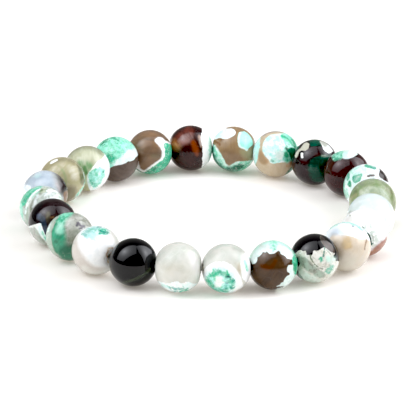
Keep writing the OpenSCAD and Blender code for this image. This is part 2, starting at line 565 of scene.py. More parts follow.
# The stone's colours as the eye reads them, red, green and blue from 0 to EYE_FULL.
PAINT = dict(
    frost=(250, 252, 251), snow=(238, 242, 242), ivory=(236, 244, 250), chalk=(230, 241, 238),
    chalk_shade=(204, 224, 218), bone=(204, 203, 188), bone_shade=(192, 192, 174), pearl=(232, 236, 230),
    milk=(219, 219, 213), milk_shade=(206, 207, 198), veil=(228, 228, 221), ice=(220, 231, 230),
    ice_shade=(206, 219, 219), aqua=(176, 236, 230), aqua_wash=(222, 246, 243), aqua_deep=(132, 206, 196),
    pale_mint=(190, 232, 218), spearmint=(160, 234, 212), mint=(126, 212, 182), sea=(76, 172, 138),
    fern=(62, 134, 104), deep_sea=(46, 110, 86), jade=(24, 142, 100), leaf=(36, 146, 92), pine=(2, 88, 68),
    bottle=(2, 44, 30), teal=(48, 150, 132), teal_grey=(112, 182, 160), celadon=(194, 208, 196),
    lichen=(182, 198, 184), moss=(116, 164, 110), dark_moss=(66, 120, 76), sage=(180, 184, 154),
    sage_light=(204, 206, 184), olive=(152, 165, 130), olive_deep=(126, 146, 98),
    olive_grey=(150, 166, 142), olive_light=(198, 204, 182), olive_foot=(168, 164, 126),
    bark_green=(92, 106, 72), khaki=(190, 184, 158), khaki_deep=(168, 160, 128), khaki_dark=(124, 120, 92),
    tan=(206, 190, 166), tan_deep=(194, 176, 148), beige=(222, 210, 193), beige_deep=(207, 194, 174),
    beige_grey=(206, 200, 192), wedge=(184, 174, 150), taupe=(158, 134, 100), taupe_deep=(142, 116, 88),
    ochre=(124, 84, 44), honey=(214, 192, 152), caramel=(188, 140, 92), caramel_deep=(160, 112, 66),
    amber=(146, 94, 48), orange=(134, 62, 20), rust=(88, 46, 14), redwood=(130, 62, 46),
    russet=(88, 44, 36), mahogany=(58, 24, 20), umber=(140, 112, 86), umber_deep=(118, 96, 78),
    cocoa=(98, 82, 72), cocoa_deep=(84, 70, 62), clay=(184, 140, 124), clay_deep=(150, 102, 86),
    brown=(82, 58, 34), brown_deep=(62, 42, 26), dark_brown=(58, 34, 28), garnet=(58, 12, 14),
    garnet_deep=(34, 4, 5), plum=(40, 20, 24), plum_deep=(24, 6, 9), plum_brown=(46, 34, 36),
    soot=(16, 13, 16), jet=(5, 5, 7), jet_green=(46, 54, 38), slate=(64, 74, 96), slate_deep=(36, 54, 66),
    flint=(58, 54, 50), granite=(190, 191, 184), ash=(150, 153, 141), ash_green=(124, 136, 116),
    green_grey=(166, 184, 168), blue_grey=(196, 210, 214), silver=(206, 214, 209),
    silver_deep=(172, 184, 174), mist=(208, 219, 228), mist_deep=(188, 199, 208), lilac=(216, 208, 218),
    dusk=(178, 160, 152), steel=(170, 184, 196), teal_deep=(30, 112, 104), lagoon=(136, 190, 186),
    viridian=(60, 186, 146), crack=(88, 84, 92), fissure=(148, 124, 104),
)

# The beads, in order along the cord.
BEADS = [
    # bead_01. Grey crackled stone, dyed green on its left.
    bead(
        "crazed", "granite", "ash", 0.7, 1.8,
        rim=patch("frosted", "lichen", "green_grey", [
            62, 208, 57, 217, 53, 224, 51, 232, 51, 240, 53, 248, 57, 256, 50, 264, 28, 250, 24, 225,
            40, 200]),
        fleck=vein("frosted", "aqua", "frost", 2.0, [
            50.5, 222.5, 49, 227, 48.2, 231], blur=0.3, share=0.6),
        foot=patch("clear", "pearl", "veil", [
            50, 259, 60, 258.5, 74, 258, 80, 275, 60, 280, 48, 270], blur=0.4),
        green=patch("clear", "fern", "sea", [
            77, 206, 73, 214, 70, 218, 67, 224, 67, 232, 70, 238, 75, 243, 78, 246, 78, 252, 76, 257,
            62, 257, 56, 253.5, 53, 248, 51.5, 240, 51.5, 232, 54, 225, 58, 218, 63, 213.5, 69, 210.5,
            73, 207], blur=0.25),
        top=patch("dyed", "sea", "mint", [
            60, 214, 66, 209, 75, 206, 74, 214, 66, 222, 58, 224, 55, 222], ragged=0.2, blur=0.6,
            share=0.9),
        pale=patch("clear", "mint", "pale_mint", [
            58, 224, 62, 223, 64, 228, 63, 234, 58, 235, 55, 231], blur=0.8, share=0.75),
        middle=patch("clear", "fern", "viridian", [
            54, 235, 63, 235, 66, 241, 60, 246, 54, 244], blur=0.8, share=0.7),
        deep=patch("milky", "deep_sea", "fern", [57, 249, 66, 244, 76, 243, 76, 262, 60, 262], blur=1.0),
        spot=vein("solid", "deep_sea", "deep_sea", 3, [55.5, 241.5, 57, 242.5], blur=0.3, share=0.6),
        fade=patch("crazed", "granite", "ash", [
            73, 214.5, 69, 217.5, 65.5, 221.5, 64.5, 227, 66, 233, 66.5, 239, 70, 243, 75, 244.5, 90, 240,
            90, 210], ragged=0.12, blur=0.9),
        sheen=patch("frosted", "silver", "granite", [
            66, 219, 71, 218, 75, 222, 73, 228, 67, 229], blur=1.2, share=0.3),
        shade=patch("crazed", "ash", "ash_green", [
            67, 236, 69, 229, 75, 228, 80, 233, 78, 246, 70, 246, 65, 242], blur=1.4, share=0.75),
        edge=vein("clear", "bark_green", "ash_green", 2.5, [
            76, 240, 73.5, 246, 72.5, 252, 72.8, 257], blur=0.5, share=0.6),
        crack_a=vein("solid", "crack", "crack", 2.6, [77, 225.5, 78, 222, 80, 225.5, 84, 226.5], blur=0.3),
        crack_b=vein("solid", "crack", "crack", 2.0, [79.5, 228.5, 82, 227.8], blur=0.3)),
    # bead_02. White crackled stone with aqua dye, and a chipped brown mouth.
    bead(
        "frosted", "frost", "snow", 0.6, 1.4,
        lower=patch("milky", "beige_grey", "beige_grey", [
            79, 232, 77, 240, 79, 248, 82, 253, 85, 258, 89, 262.5, 93, 265.5, 98, 267.5, 104, 268,
            108, 266, 113, 262, 130, 275, 112, 310, 65, 300, 45, 260, 58, 230], blur=1.0),
        # base: painted light, a paler band along the bottom that brightens the underside.
        base=vein("milky", "veil", "pearl", 5.0, [
            84, 268, 90, 272, 97, 273.5, 104, 272, 110, 268], blur=0.9, share=0.75),
        # veil: partly the stone's beige grey streaks, partly painted shade that dims the upper right, where
        # the soft boxes light it most.
        veil=patch("milky", "milk_shade", "beige_grey", [
            104, 228, 109, 233, 113, 240, 117, 250, 140, 240, 125, 205, 100, 205], ragged=0.1, blur=1.2,
            share=0.9),
        # halo: painted light, a white patch round the chipped mouth that stands in for light coming through
        # the stone and lifts the shade cast by the black bead beside it.
        halo=patch("frosted", "frost", "veil", [
            107, 246, 104.5, 251, 104, 257, 105, 263, 109, 267, 125, 262, 120, 246], blur=0.6),
        aqua=patch("frosted", "aqua", "lagoon", [
            83, 236, 85, 230, 89, 226.5, 97, 224, 104, 227, 109, 231.5, 107, 234.5, 101, 235.5, 96, 239,
            89, 238.5], ragged=0.3, blur=0.7, share=0.6),
        dye_a=vein("dyed", "lagoon", "teal_grey", 4.6, [
            84.5, 234.5, 87.5, 231.5, 91, 229.5, 95.5, 228.8], ragged=0.35, blur=0.5, share=0.85),
        dye_b=patch("dyed", "viridian", "teal", [
            97.5, 227.8, 102, 228.3, 106, 230.2, 110, 233, 105.5, 234.5, 101.5, 234, 97, 235.3,
            99.5, 231.5], ragged=0.22, blur=0.3),
        dye_c=vein("dyed", "teal_deep", "teal", 1.8, [
            100.5, 230.6, 104, 231.8, 107, 232.6], ragged=0.2, blur=0.3, share=0.9),
        stain=patch("frosted", "lagoon", "aqua", [
            84, 237, 88, 234, 93, 232.5, 96, 235, 94, 239.5, 89, 238.5], ragged=0.3, blur=0.8, share=0.7),
        brow=vein("clear", "slate", "teal", 1.2, [97.5, 227, 101.5, 227.2], share=0.6),
        mouth=vein("crazed", "honey", "caramel", 1.7, [
            113, 248.2, 109, 248.3, 107.5, 252, 107, 256.5, 107.6, 261.5, 111, 265], ragged=0.15,
            share=0.95),
        lip=vein("solid", "caramel", "caramel_deep", 0.8, [
            113, 250.5, 110.5, 253.5, 109.3, 256.5, 109.2, 260], ragged=0.08, share=0.8)),
    # bead_03. Black.
    bead(
        "solid", "jet", "jet", 0.0, 0.3,
        # end: painted reflection, a faint slate grey on the end that faces the next bead, where that bead
        # mirrors in the black stone.
        end=patch("clear", "slate", "flint", [
            149, 247, 154, 252, 158, 262, 156, 271, 151, 276, 147, 270, 145.5, 262, 146.5, 253], blur=0.8,
            share=0.14),
        stripe=vein("clear", "jet_green", "jet_green", 2.8, [
            118, 285, 126, 282, 132, 280.5, 138, 278, 144, 274.5, 149, 270.5, 153, 266, 159, 256],
            ragged=0.08, blur=0.3)),
    # bead_04. Cloudy white stone with a frosted foot.
    bead(
        "milky", "milk", "milk_shade", 0.95, 3.0,
        # crown and shade: painted shade, grey over the top rim and the top half, where the milky stone
        # would otherwise read brightest under the soft boxes.
        crown=vein("milky", "beige_grey", "silver_deep", 5.0, [
            156.4, 259.3, 161.9, 250.7, 170.5, 245.2, 178.5, 243.8, 186.5, 245.2, 195.1, 250.7,
            200.6, 259.3], blur=1.2, share=0.7),
        shade=patch("milky", "granite", "silver_deep", [
            156, 259, 164, 250, 178, 246, 192, 250, 201, 258, 200, 268, 196, 262, 178, 259, 160, 264],
            blur=2.0, share=0.4),
        warm=patch("clear", "honey", "bone", [
            161, 263, 172, 267, 186, 267, 194, 271, 184, 276, 169, 275, 160, 270], blur=2.0, share=0.14),
        lilac=patch("milky", "lilac", "veil", [
            187, 252, 196, 254, 200, 262, 199, 274, 192, 270, 189, 260], blur=1.5, share=0.4),
        foot=patch("frosted", "frost", "aqua_wash", [
            148, 278, 158, 280.7, 162, 282.3, 166, 283.4, 171, 282.8, 176, 280.7, 182, 284, 188, 280.7,
            193, 284, 199, 283, 210, 280, 222, 300, 178, 330, 136, 300], ragged=0.1),
        dye_a=vein("dyed", "teal", "lagoon", 2.4, [
            169, 287.5, 173, 288.8, 177, 289.6], ragged=0.3, blur=0.25),
        dye_b=vein("dyed", "teal", "lagoon", 2.2, [
            179, 288.4, 183, 288.2], ragged=0.3, blur=0.3, share=0.85),
        dye_c=vein("dyed", "teal", "mint", 2.0, [180, 291.6, 187.5, 290], ragged=0.25, blur=0.25),
        dye_d=vein("speckled", "aqua", "pale_mint", 2.4, [163, 285, 168, 287.5], ragged=0.25, share=0.6)),
    # bead_05. Cloudy white stone with a frosted patch and a green ring.
    bead(
        "milky", "milk", "milk_shade", 0.95, 3.0,
        # crown, shade and bend: painted shade, grey over the top rim, the upper body and the right
        # shoulder, where the milky stone would otherwise read brightest under the soft boxes.
        crown=vein("milky", "beige_grey", "silver_deep", 6.0, [
            205.5, 256.8, 211.1, 250.2, 218.2, 246, 226.4, 244.5, 234.5, 246, 240.5, 249.5], blur=1.2,
            share=0.8),
        shade=patch("milky", "granite", "silver_deep", [
            204, 262, 211, 252, 226, 247, 238, 250, 243, 256, 240, 266, 233, 262, 222, 258, 210, 262],
            blur=1.6, share=0.45),
        bend=vein("milky", "ash", "silver_deep", 4.5, [
            235, 248.5, 240.5, 253, 239.5, 258, 238.5, 263], blur=1.2, share=0.55),
        band=patch("frosted", "frost", "snow", [
            246, 251, 242.5, 256, 240.8, 260, 240.3, 265, 240.5, 270, 242, 275, 243, 280, 256, 290,
            285, 275, 285, 240, 258, 228]),
        ground=patch("frosted", "frost", "snow", [
            202, 292, 200, 280, 202.5, 272.5, 205.5, 267.5, 209.5, 264, 215, 261.8, 220, 261.2, 226, 262,
            231, 264.5, 236, 268.7, 239.7, 274, 241.7, 280, 243.5, 288, 240, 300, 225, 312, 205, 304]),
        wedge=patch("clear", "milk_shade", "wedge", [
            234, 262, 240, 262, 241, 270, 241.2, 276, 239.6, 275, 237, 269.5], blur=0.6, share=0.95),
        halo=patch("frosted", "aqua_wash", "aqua", [
            204, 286, 203.5, 278, 207, 271.5, 213, 267.5, 222, 267, 230, 270, 235, 276, 237, 284,
            234, 291.5, 226, 295, 214, 294.5, 207, 291], ragged=0.2, blur=0.9, share=0.5),
        ring=patch("dyed", "mint", "aqua", [
            207, 284, 206.3, 279, 208.5, 274.5, 211.5, 271, 216, 270, 222, 270, 228, 272, 231.5, 276,
            234, 281, 234, 287, 231.5, 290.5, 225, 292.5, 216, 292, 209.5, 289], ragged=0.3, blur=0.4),
        arc=vein("dyed", "viridian", "sea", 4.4, [
            211.5, 274.8, 216, 272.6, 222, 272.3, 227, 275.2], ragged=0.3, blur=0.5, share=0.9),
        arc_l=vein("dyed", "viridian", "sea", 4.2, [
            208.3, 280, 209.8, 283, 213, 286.5], ragged=0.3, blur=0.5, share=0.9),
        arc_r=vein("dyed", "teal", "viridian", 3.6, [
            230.5, 277.5, 232.8, 283, 231.8, 288.5], ragged=0.3, blur=0.45, share=0.9),
        arc_b=vein("dyed", "teal", "viridian", 3.2, [
            214.5, 289.7, 220, 290.6, 227, 290.6], ragged=0.3, blur=0.45, share=0.85),
        arc_i=vein("dyed", "teal", "aqua_deep", 3.0, [
            226, 278.5, 228, 284, 225, 287.5], ragged=0.35, blur=0.4, share=0.55),
        core=patch("frosted", "frost", "pearl", [
            214.5, 284, 215, 279, 218, 276.3, 221.5, 276.6, 224, 280, 223.6, 285, 219.5, 287.5,
            216, 286.8], ragged=0.25, blur=0.55),
        dot_a=vein("solid", "slate_deep", "slate_deep", 1.7, [226.5, 276.5, 229, 277], share=0.7),
        dot_b=vein("solid", "slate", "slate", 1.3, [225.8, 282.8, 227.4, 283], share=0.6),
        streak=vein("dyed", "spearmint", "mint", 2.6, [
            244.6, 261, 245.8, 265, 247.3, 270], blur=0.35, share=0.9)),
    # bead_06. Brown stone under a frosted, ragged crown.
    bead(
        "clear", "brown", "brown_deep", 0.35, 1.2,
        rust=patch("clear", "rust", "rust", [
            258, 265, 264, 263.6, 271, 266, 275, 258, 278, 262, 271, 270.5, 262, 269.7], blur=0.6),
        crown=patch("frosted", "chalk", "chalk_shade", [
            240, 262, 250.5, 260.5, 252, 264, 255, 264, 257, 261, 257.5, 257.5, 259.5, 256.3, 262.5, 253.5,
            262.8, 252, 266, 252.5, 266.8, 251, 268, 252.5, 269, 254, 274, 253.5, 277, 251.5, 278.5, 250.7,
            280.3, 252, 280.5, 254, 285, 256, 287, 258.5, 290, 259, 292, 260, 293.3, 262.5, 292.5, 264.5,
            288.5, 265, 287, 268, 287.2, 271.5, 289.5, 273, 289.8, 275, 287.5, 275.8, 285.5, 277,
            284.5, 279.5, 283.5, 282, 281.5, 282.5, 279, 285, 276, 286.5, 284.5, 286, 281.5, 287.5,
            277.5, 288.5, 275, 290.5, 276, 296, 300, 325, 335, 290, 330, 235, 300, 205, 262, 200,
            228, 225], ragged=0.05, blur=0.06, sharp=True),
        veil=patch("milky", "ice_shade", "celadon", [
            238, 262, 253, 262, 254, 254, 260, 248, 268, 248, 268, 228, 240, 235], ragged=0.2, blur=0.8,
            share=0.85),
        # edge: partly the stone's mint tint, partly painted shade, a darker rim that follows the outline as
        # seen from the front.
        edge=vein("milky", "spearmint", "lichen", 2.4, [
            250.2, 256.9, 255.8, 248.1, 264.6, 242.5, 272.8, 241.1, 281, 242.5, 289.8, 248.1,
            295.4, 256.9], blur=0.4, share=0.75),
        top=patch("dyed", "mint", "pale_mint", [
            268, 230, 277, 236, 278, 244, 276, 250, 272.5, 251, 269.5, 246], ragged=0.25, blur=0.5,
            share=0.8),
        dot_a=vein("speckled", "sea", "sea", 1.6, [273.3, 246.3, 274.6, 246.6], share=0.7),
        dot_b=vein("speckled", "sea", "sea", 1.6, [274.5, 249.3, 275.5, 249.6], share=0.7),
        side=patch("dyed", "viridian", "jade", [
            291.5, 261, 293, 266, 293.5, 272, 296, 279, 312, 282, 318, 262, 308, 248, 292, 248, 294, 256],
            ragged=0.12, blur=0.3),
        side_deep=vein("clear", "jade", "jade", 2.8, [294.8, 264.5, 295.2, 270.5], blur=0.4),
        nick=vein("frosted", "frost", "frost", 1.0, [248.4, 265.5, 249.2, 269, 249.6, 272.5], ragged=0.25)),
    # bead_07. Black over a broken grey and white body with cracks.
    bead(
        "solid", "jet", "soot", 0.05, 0.4,
        broken=patch("crazed", "veil", "bone", [
            295, 254, 297, 252, 299, 250.3, 301, 250, 303, 251.3, 305.5, 251, 306.5, 253, 306.8, 254.7,
            309, 254.7, 310, 256, 311.2, 256, 312.7, 254, 312.5, 251.5, 314, 250.5, 318, 250.8,
            320.5, 249.5, 323, 247.8, 324.5, 247, 327, 249, 330, 251, 333, 251.2, 335, 253.5, 333.5, 255.5,
            333.5, 257.5, 335.3, 258.5, 335.7, 261, 340, 261.5, 365, 262, 362, 305, 314, 330, 285, 300,
            301, 285, 304.2, 281, 302, 276.8, 299.4, 273, 297, 269, 299.6, 265, 300.2, 262, 298.8, 258,
            295.5, 256], ragged=0.05, blur=0.06, sharp=True),
        band=patch("crazed", "green_grey", "ash", [
            297, 256, 304, 256.5, 309, 261, 316, 267.5, 322, 271.5, 327, 275, 321, 279, 312, 274, 305, 269,
            299, 263], ragged=0.12, blur=0.35),
        pale=patch("milky", "celadon", "pale_mint", [
            297, 268, 304, 271, 312, 276, 322, 279, 318, 290, 300, 290], blur=0.6, share=0.5),
        wash=patch("dyed", "pale_mint", "celadon", [
            324, 256, 334, 255, 337, 262, 328, 264], ragged=0.2, blur=0.5, share=0.7),
        crack_a=vein("solid", "ash_green", "ash_green", 1.0, [
            310, 255, 311, 259, 313.5, 263, 318, 267, 322, 269, 326, 270], ragged=0.1, blur=0.12),
        crack_b=vein("solid", "deep_sea", "teal_deep", 1.5, [
            324.7, 247.5, 324.3, 252.5, 323, 257], ragged=0.1, blur=0.12, share=0.8),
        crack_c=vein("solid", "green_grey", "ash", 0.9, [
            326, 249, 328, 251, 330.5, 254.5], ragged=0.1, blur=0.12),
        crack_d=vein("solid", "green_grey", "ash", 0.9, [
            313, 257, 316, 259.5, 320, 259], ragged=0.1, blur=0.12),
        mint=vein("dyed", "sea", "sea", 3.2, [321.2, 258.3, 321.8, 260], ragged=0.15, blur=0.3),
        green=vein("speckled", "sea", "teal_grey", 4.6, [
            331.4, 266.8, 329.8, 269.8, 328, 272], ragged=0.35, blur=0.6, share=0.9),
        gleam=vein("clear", "ash", "ash_green", 1.1, [
            320.9, 236, 320.8, 239.3, 322.8, 243, 325, 246.6, 329.2, 250.2], blur=0.12, share=0.8),
        smoke=patch("crazed", "cocoa_deep", "flint", [
            320.6, 235.8, 322.4, 236, 324.5, 238.5, 327, 241, 330.5, 243.8, 333.5, 246.8, 335, 250,
            335, 252.5, 333.4, 253.3, 329, 250.4, 324.7, 246.8, 322.6, 243.2, 320.4, 239.6], blur=0.15,
            sharp=True)),
    # bead_08. Cloudy beige stone with a frosted cap.
    bead(
        "milky", "beige", "beige_deep", 0.9, 3.0,
        # left: painted shade, a greyer beige on the left side, next to the black bead that shades it.
        left=patch("clear", "beige_grey", "beige", [
            322, 238, 334, 238, 338, 246, 332, 256, 322, 252], blur=1.2, share=0.35),
        facet=patch("clear", "tan_deep", "honey", [
            341, 246, 343, 239.5, 345.5, 236.4, 349.5, 236.6, 351, 241, 352.5, 247.5, 350, 249.3,
            344, 249], ragged=0.12, blur=0.6, share=0.9),
        low=patch("clear", "beige_grey", "milk_shade", [
            325, 258, 345, 253, 372, 256, 372, 280, 320, 280], blur=1.6, share=0.6),
        right=patch("clear", "beige_grey", "beige_deep", [
            354, 241, 368, 243, 371, 255, 366, 266, 358, 270, 356, 256], blur=1.5, share=0.6),
        cap=patch("frosted", "ivory", "snow", [
            322, 246, 328.5, 241, 330.8, 236.5, 332, 233.3, 335, 232.8, 339, 234, 343, 235, 347, 235.3,
            352, 236.5, 357, 238.5, 362, 239.3, 367, 239.3, 372, 242, 400, 240, 400, 195, 350, 175,
            305, 200, 302, 240], ragged=0.05, blur=0.15),
        lilac=patch("milky", "mist_deep", "mist", [
            327, 240, 331, 231, 337, 226, 342, 230, 347, 234, 340, 236, 333, 235], blur=0.8, share=0.8),
        aqua=vein("dyed", "mint", "aqua", 2.8, [
            330, 227, 335.5, 224, 341, 222.2, 347, 221.8, 353, 223.6, 358, 226.2, 362.5, 230], ragged=0.15,
            blur=0.35, share=0.8),
        speck=vein("solid", "slate", "slate", 1.5, [352.2, 226.3, 353.6, 226.6], share=0.7),
        fissure=vein("solid", "fissure", "fissure", 1.1, [
            366.7, 239.5, 365.9, 243, 365, 246, 364.8, 249.5], blur=0.25)),
    # bead_09. White stone with a clay foot and dark veins.
    bead(
        "frosted", "frost", "snow", 0.6, 1.4,
        wash=patch("speckled", "frost", "lichen", [
            362, 222, 369, 221, 375, 231, 379, 238, 377, 246, 372, 249, 366, 240], ragged=0.2, blur=0.6,
            share=0.6),
        grey=patch("milky", "beige_grey", "veil", [
            343, 223, 347, 216, 352, 215, 354, 222], blur=0.5, share=0.6),
        lilac=patch("milky", "lilac", "veil", [
            386.5, 226, 392, 224, 400, 240, 386, 238], blur=0.5, share=0.8),
        clay=patch("clear", "clay", "clay_deep", [
            392, 231, 386.5, 237, 384, 239.5, 380, 242.5, 376, 246, 372.5, 249, 370.3, 251.3, 368.5, 254.5,
            362, 262, 368, 285, 400, 280, 415, 250, 405, 230], blur=0.2),
        ember=patch("clear", "clay_deep", "redwood", [
            363, 261, 366, 254, 370, 250, 375, 251, 373, 258], blur=1.2, share=0.5),
        clay_low=vein("clear", "caramel_deep", "clay_deep", 6.0, [
            365, 262, 370, 255.5, 375, 252], blur=0.6, share=0.7),
        brim=vein("clear", "lilac", "dusk", 2.0, [
            391, 231, 386, 237, 380, 242, 375, 246.3, 371.3, 250], blur=0.4, share=0.6),
        vein_a=vein("solid", "bottle", "pine", 2.4, [
            367.8, 233.6, 369.3, 236.6, 370.3, 240.3, 370.8, 244.2], ragged=0.1, blur=0.12),
        vein_b=vein("solid", "deep_sea", "ash_green", 1.3, [
            362.5, 226.5, 365, 229.5, 368, 233.8], ragged=0.12, blur=0.15, share=0.8),
        vein_c=vein("solid", "ash_green", "ash_green", 1.4, [
            370.3, 233, 372.5, 236.5, 373.4, 240], ragged=0.12, share=0.6),
        dot=vein("solid", "pine", "pine", 1.5, [372, 243.8, 373.2, 243.3], blur=0.15, share=0.8),
        speck=vein("solid", "ash", "ash", 1.6, [349.7, 215.4, 350.4, 215.7], share=0.7)),
    # bead_10. Cloudy white stone.
    bead(
        "milky", "ice", "ice_shade", 0.9, 2.6,
        # crown: painted shade, a grey over the top and the rim, where the milky stone would otherwise read
        # white under the soft boxes.
        crown=patch("milky", "ice_shade", "silver", [
            348, 216, 350, 204, 356, 196, 366, 190, 376, 190, 386, 194, 393, 202, 396, 212, 388, 208,
            377, 205.5, 366, 206.5, 358, 210, 352, 216], blur=1.1, share=0.85),
        white=patch("milky", "frost", "aqua_wash", [
            366, 210, 376, 208, 387, 210, 400, 220, 395, 240, 360, 240, 352, 214], ragged=0.25, blur=1.4,
            share=0.8),
        wisp=vein("milky", "snow", "ice", 2.4, [353, 205, 360, 201, 369, 199.5], blur=0.6, share=0.5),
        nick=vein("solid", "ash", "ash", 1.2, [350.6, 211, 348, 213.7], share=0.6)),
    # bead_11. Olive stone.
    bead(
        "milky", "olive", "olive_deep", 0.85, 2.6,
        crown=patch("milky", "ash_green", "olive", [
            352, 186, 362, 178, 374, 172, 388, 180, 386, 187, 380, 185, 372, 183, 364, 185, 357, 190,
            352, 194], blur=0.7, share=0.8),
        light=patch("milky", "olive_light", "olive_grey", [
            358, 191, 364, 187, 372, 185.5, 380, 187, 386, 191, 391, 199, 394, 210, 385, 215, 375, 200,
            360, 199], ragged=0.1, blur=0.5, share=0.85),
        left=patch("milky", "bark_green", "olive_deep", [
            349, 200, 351, 192, 355, 188, 358, 190, 355, 196, 352, 201], blur=0.6, share=0.8),
        right=vein("milky", "olive_deep", "khaki_dark", 4.5, [
            387, 188, 391.5, 193.5, 394, 201, 394.5, 210], blur=0.6, share=0.7),
        gold=vein("clear", "olive_foot", "khaki_deep", 2.2, [
            350.5, 199.5, 353, 196.5, 356, 194.5], blur=0.5, share=0.7),
        gold_b=vein("clear", "olive_foot", "olive", 1.8, [371, 192.6, 375.5, 192.8], blur=0.4, share=0.6),
        streak=vein("clear", "moss", "olive_deep", 2.0, [
            376.5, 179.5, 376.2, 183, 377, 186.5], blur=0.5, share=0.5),
        streak_b=vein("clear", "moss", "olive_deep", 2.4, [
            357, 184, 361, 187.5, 364, 190], blur=0.5, share=0.45),
        brow=vein("clear", "olive_grey", "ash", 1.6, [
            354, 187, 361, 181.5, 370, 178.6, 379, 179.3, 387, 183], blur=0.3, share=0.5)),
    # bead_12. White stone with cells of green dye and a brown end.
    bead(
        "frosted", "frost", "aqua_wash", 0.6, 1.4,
        wash=patch("frosted", "aqua_wash", "aqua", [
            352, 168, 360, 164.5, 370, 170, 366, 177, 356, 173], ragged=0.25, blur=0.6, share=0.6),
        edge=patch("dyed", "mint", "sea", [
            352, 164, 348.5, 171, 346, 177, 345, 184, 345.5, 191, 348.5, 200, 330, 205, 325, 180,
            338, 158], ragged=0.15, blur=0.4, share=0.85),
        wash_b=patch("dyed", "pale_mint", "aqua_wash", [
            347, 172, 356, 164.5, 363, 167, 364, 176, 357, 184, 350, 190, 345, 186], ragged=0.2, blur=0.6),
        lime=patch("dyed", "pale_mint", "spearmint", [
            348.5, 171.5, 351, 169.3, 353, 171, 351, 174], blur=0.3, share=0.8),
        dye_a=vein("dyed", "teal", "sea", 3.2, [
            366, 165.8, 369, 166.3, 371.5, 167.4, 374.5, 167.8], ragged=0.15, blur=0.3),
        dye_b=patch("dyed", "aqua", "frost", [
            368, 168.6, 372.5, 169, 372, 171.5, 369, 171.3], ragged=0.2, blur=0.4, share=0.7),
        faint=vein("clear", "celadon", "pale_mint", 1.3, [
            358, 165.2, 360.5, 165.6, 361.5, 167, 364, 166.4], blur=0.3, share=0.5),
        green=patch("dyed", "teal_grey", "sea", [
            351.7, 176.2, 355, 175.2, 359, 174.2, 362.6, 173.2, 362.2, 176.5, 361, 180, 358, 182.5,
            354.6, 183.5, 352.8, 181], blur=0.15),
        deep=patch("clear", "sea", "teal", [
            351.7, 176.5, 354.3, 176, 354.6, 179, 352.6, 180], blur=0.3, share=0.8),
        eye=vein("clear", "celadon", "granite", 1.8, [357.5, 176.6, 359.3, 176.4], blur=0.4, share=0.5),
        green_b=patch("dyed", "sea", "jade", [
            348.2, 181.6, 350.6, 179.8, 351.6, 184, 351.2, 187, 348.8, 186.8, 347.3, 184.5], ragged=0.1,
            blur=0.2),
        green_c=patch("dyed", "sea", "teal_grey", [
            348.3, 172.3, 350.1, 173.4, 349.6, 177.5, 348, 181.3, 346.2, 180.5, 346.6, 176.5], blur=0.2),
        gap=vein("frosted", "frost", "aqua_wash", 1.1, [
            351.3, 174.5, 350.7, 178, 351.8, 182, 352.5, 186.5], share=0.8),
        low=patch("dyed", "mint", "pale_mint", [
            345.3, 188, 347, 187.6, 348.8, 193, 349, 199, 346, 197], ragged=0.15, blur=0.3, share=0.8),
        gap_b=vein("frosted", "frost", "aqua_wash", 1.6, [
            346, 185.8, 348.8, 188.5, 350, 192.5], ragged=0.1, blur=0.3, share=0.8),
        grey=patch("milky", "veil", "mist", [
            370, 174.8, 376.5, 174.4, 381, 178.5, 372, 178.8], blur=0.4, share=0.8),
        mark=patch("clear", "dark_brown", "brown_deep", [
            366.7, 176.6, 367.6, 175.4, 369.6, 175.6, 369.8, 177, 367.8, 177.6], blur=0.2),
        mark_b=vein("clear", "dark_brown", "cocoa", 2.0, [
            367.5, 176.2, 370.5, 175.2, 374, 175.2], blur=0.25, share=0.9),
        brown=patch("clear", "plum_brown", "flint", [
            374, 158, 377.6, 165.2, 379.6, 168.3, 379.9, 171.2, 378.3, 174.3, 379.4, 176.8, 382.5, 179.2,
            388, 182.5, 410, 190, 412, 165, 392, 150], ragged=0.05, blur=0.15),
        brown_deep=vein("clear", "dark_brown", "mahogany", 1.6, [
            380.5, 176.6, 383.5, 178.8, 387.5, 181], blur=0.35, share=0.8)),
    # bead_13. Dark red stone with a frosted mint cap.
    bead(
        "clear", "garnet", "garnet_deep", 0.2, 0.9,
        tea=patch("clear", "brown_deep", "dark_brown", [
            322, 164, 332, 157, 334, 162, 331, 172, 322, 178], blur=0.7, share=0.6),
        # ring: painted reflection, a thin white line along the left outline.
        ring=vein("frosted", "pale_mint", "frost", 1.3, [
            324, 163, 326.5, 159.5, 329.3, 156.3, 332, 154, 335.5, 151.9], ragged=0.06, blur=0.12),
        cap=patch("frosted", "pale_mint", "chalk_shade", [
            335.5, 150, 335.3, 154, 334.3, 156.5, 332.3, 159.5, 333.7, 160.3, 335.3, 158.5, 338, 157.7,
            342, 158.2, 345, 158.7, 348, 158.4, 349.2, 158.9, 350.5, 157.7, 353, 157.2, 356, 155.2,
            357.8, 154.4, 356.5, 152.5, 355, 148, 358, 125, 335, 120, 322, 135], ragged=0.05, blur=0.08,
            sharp=True),
        mint=patch("dyed", "sea", "mint", [
            333, 140, 343, 140, 344, 150, 342.5, 154, 342, 159, 331, 162], ragged=0.15, blur=0.5,
            share=0.9),
        cap_light=patch("frosted", "frost", "snow", [
            347.5, 151.5, 352, 150.5, 356.5, 151.5, 357, 154.5, 352, 157, 348, 157.3], ragged=0.12,
            blur=0.3, share=0.9),
        mint_deep=patch("dyed", "sea", "mint", [
            338.5, 155.5, 341.5, 154.3, 342.3, 157.5, 339, 158.5], ragged=0.15, blur=0.4, share=0.6),
        mint_b=patch("dyed", "pale_mint", "celadon", [
            344.5, 150.5, 348.5, 150.5, 348.3, 154, 345, 154.3], ragged=0.2, blur=0.5, share=0.6),
        shade=vein("milky", "blue_grey", "ivory", 1.4, [
            344, 158.4, 347.2, 158.2, 349.5, 157.8, 352.5, 156.8], blur=0.35, share=0.6)),
    # bead_14. Dark green and plum stone with a bone ring and a white window.
    bead(
        "clear", "plum", "plum_deep", 0.15, 0.8,
        body=patch("clear", "bottle", "pine", [
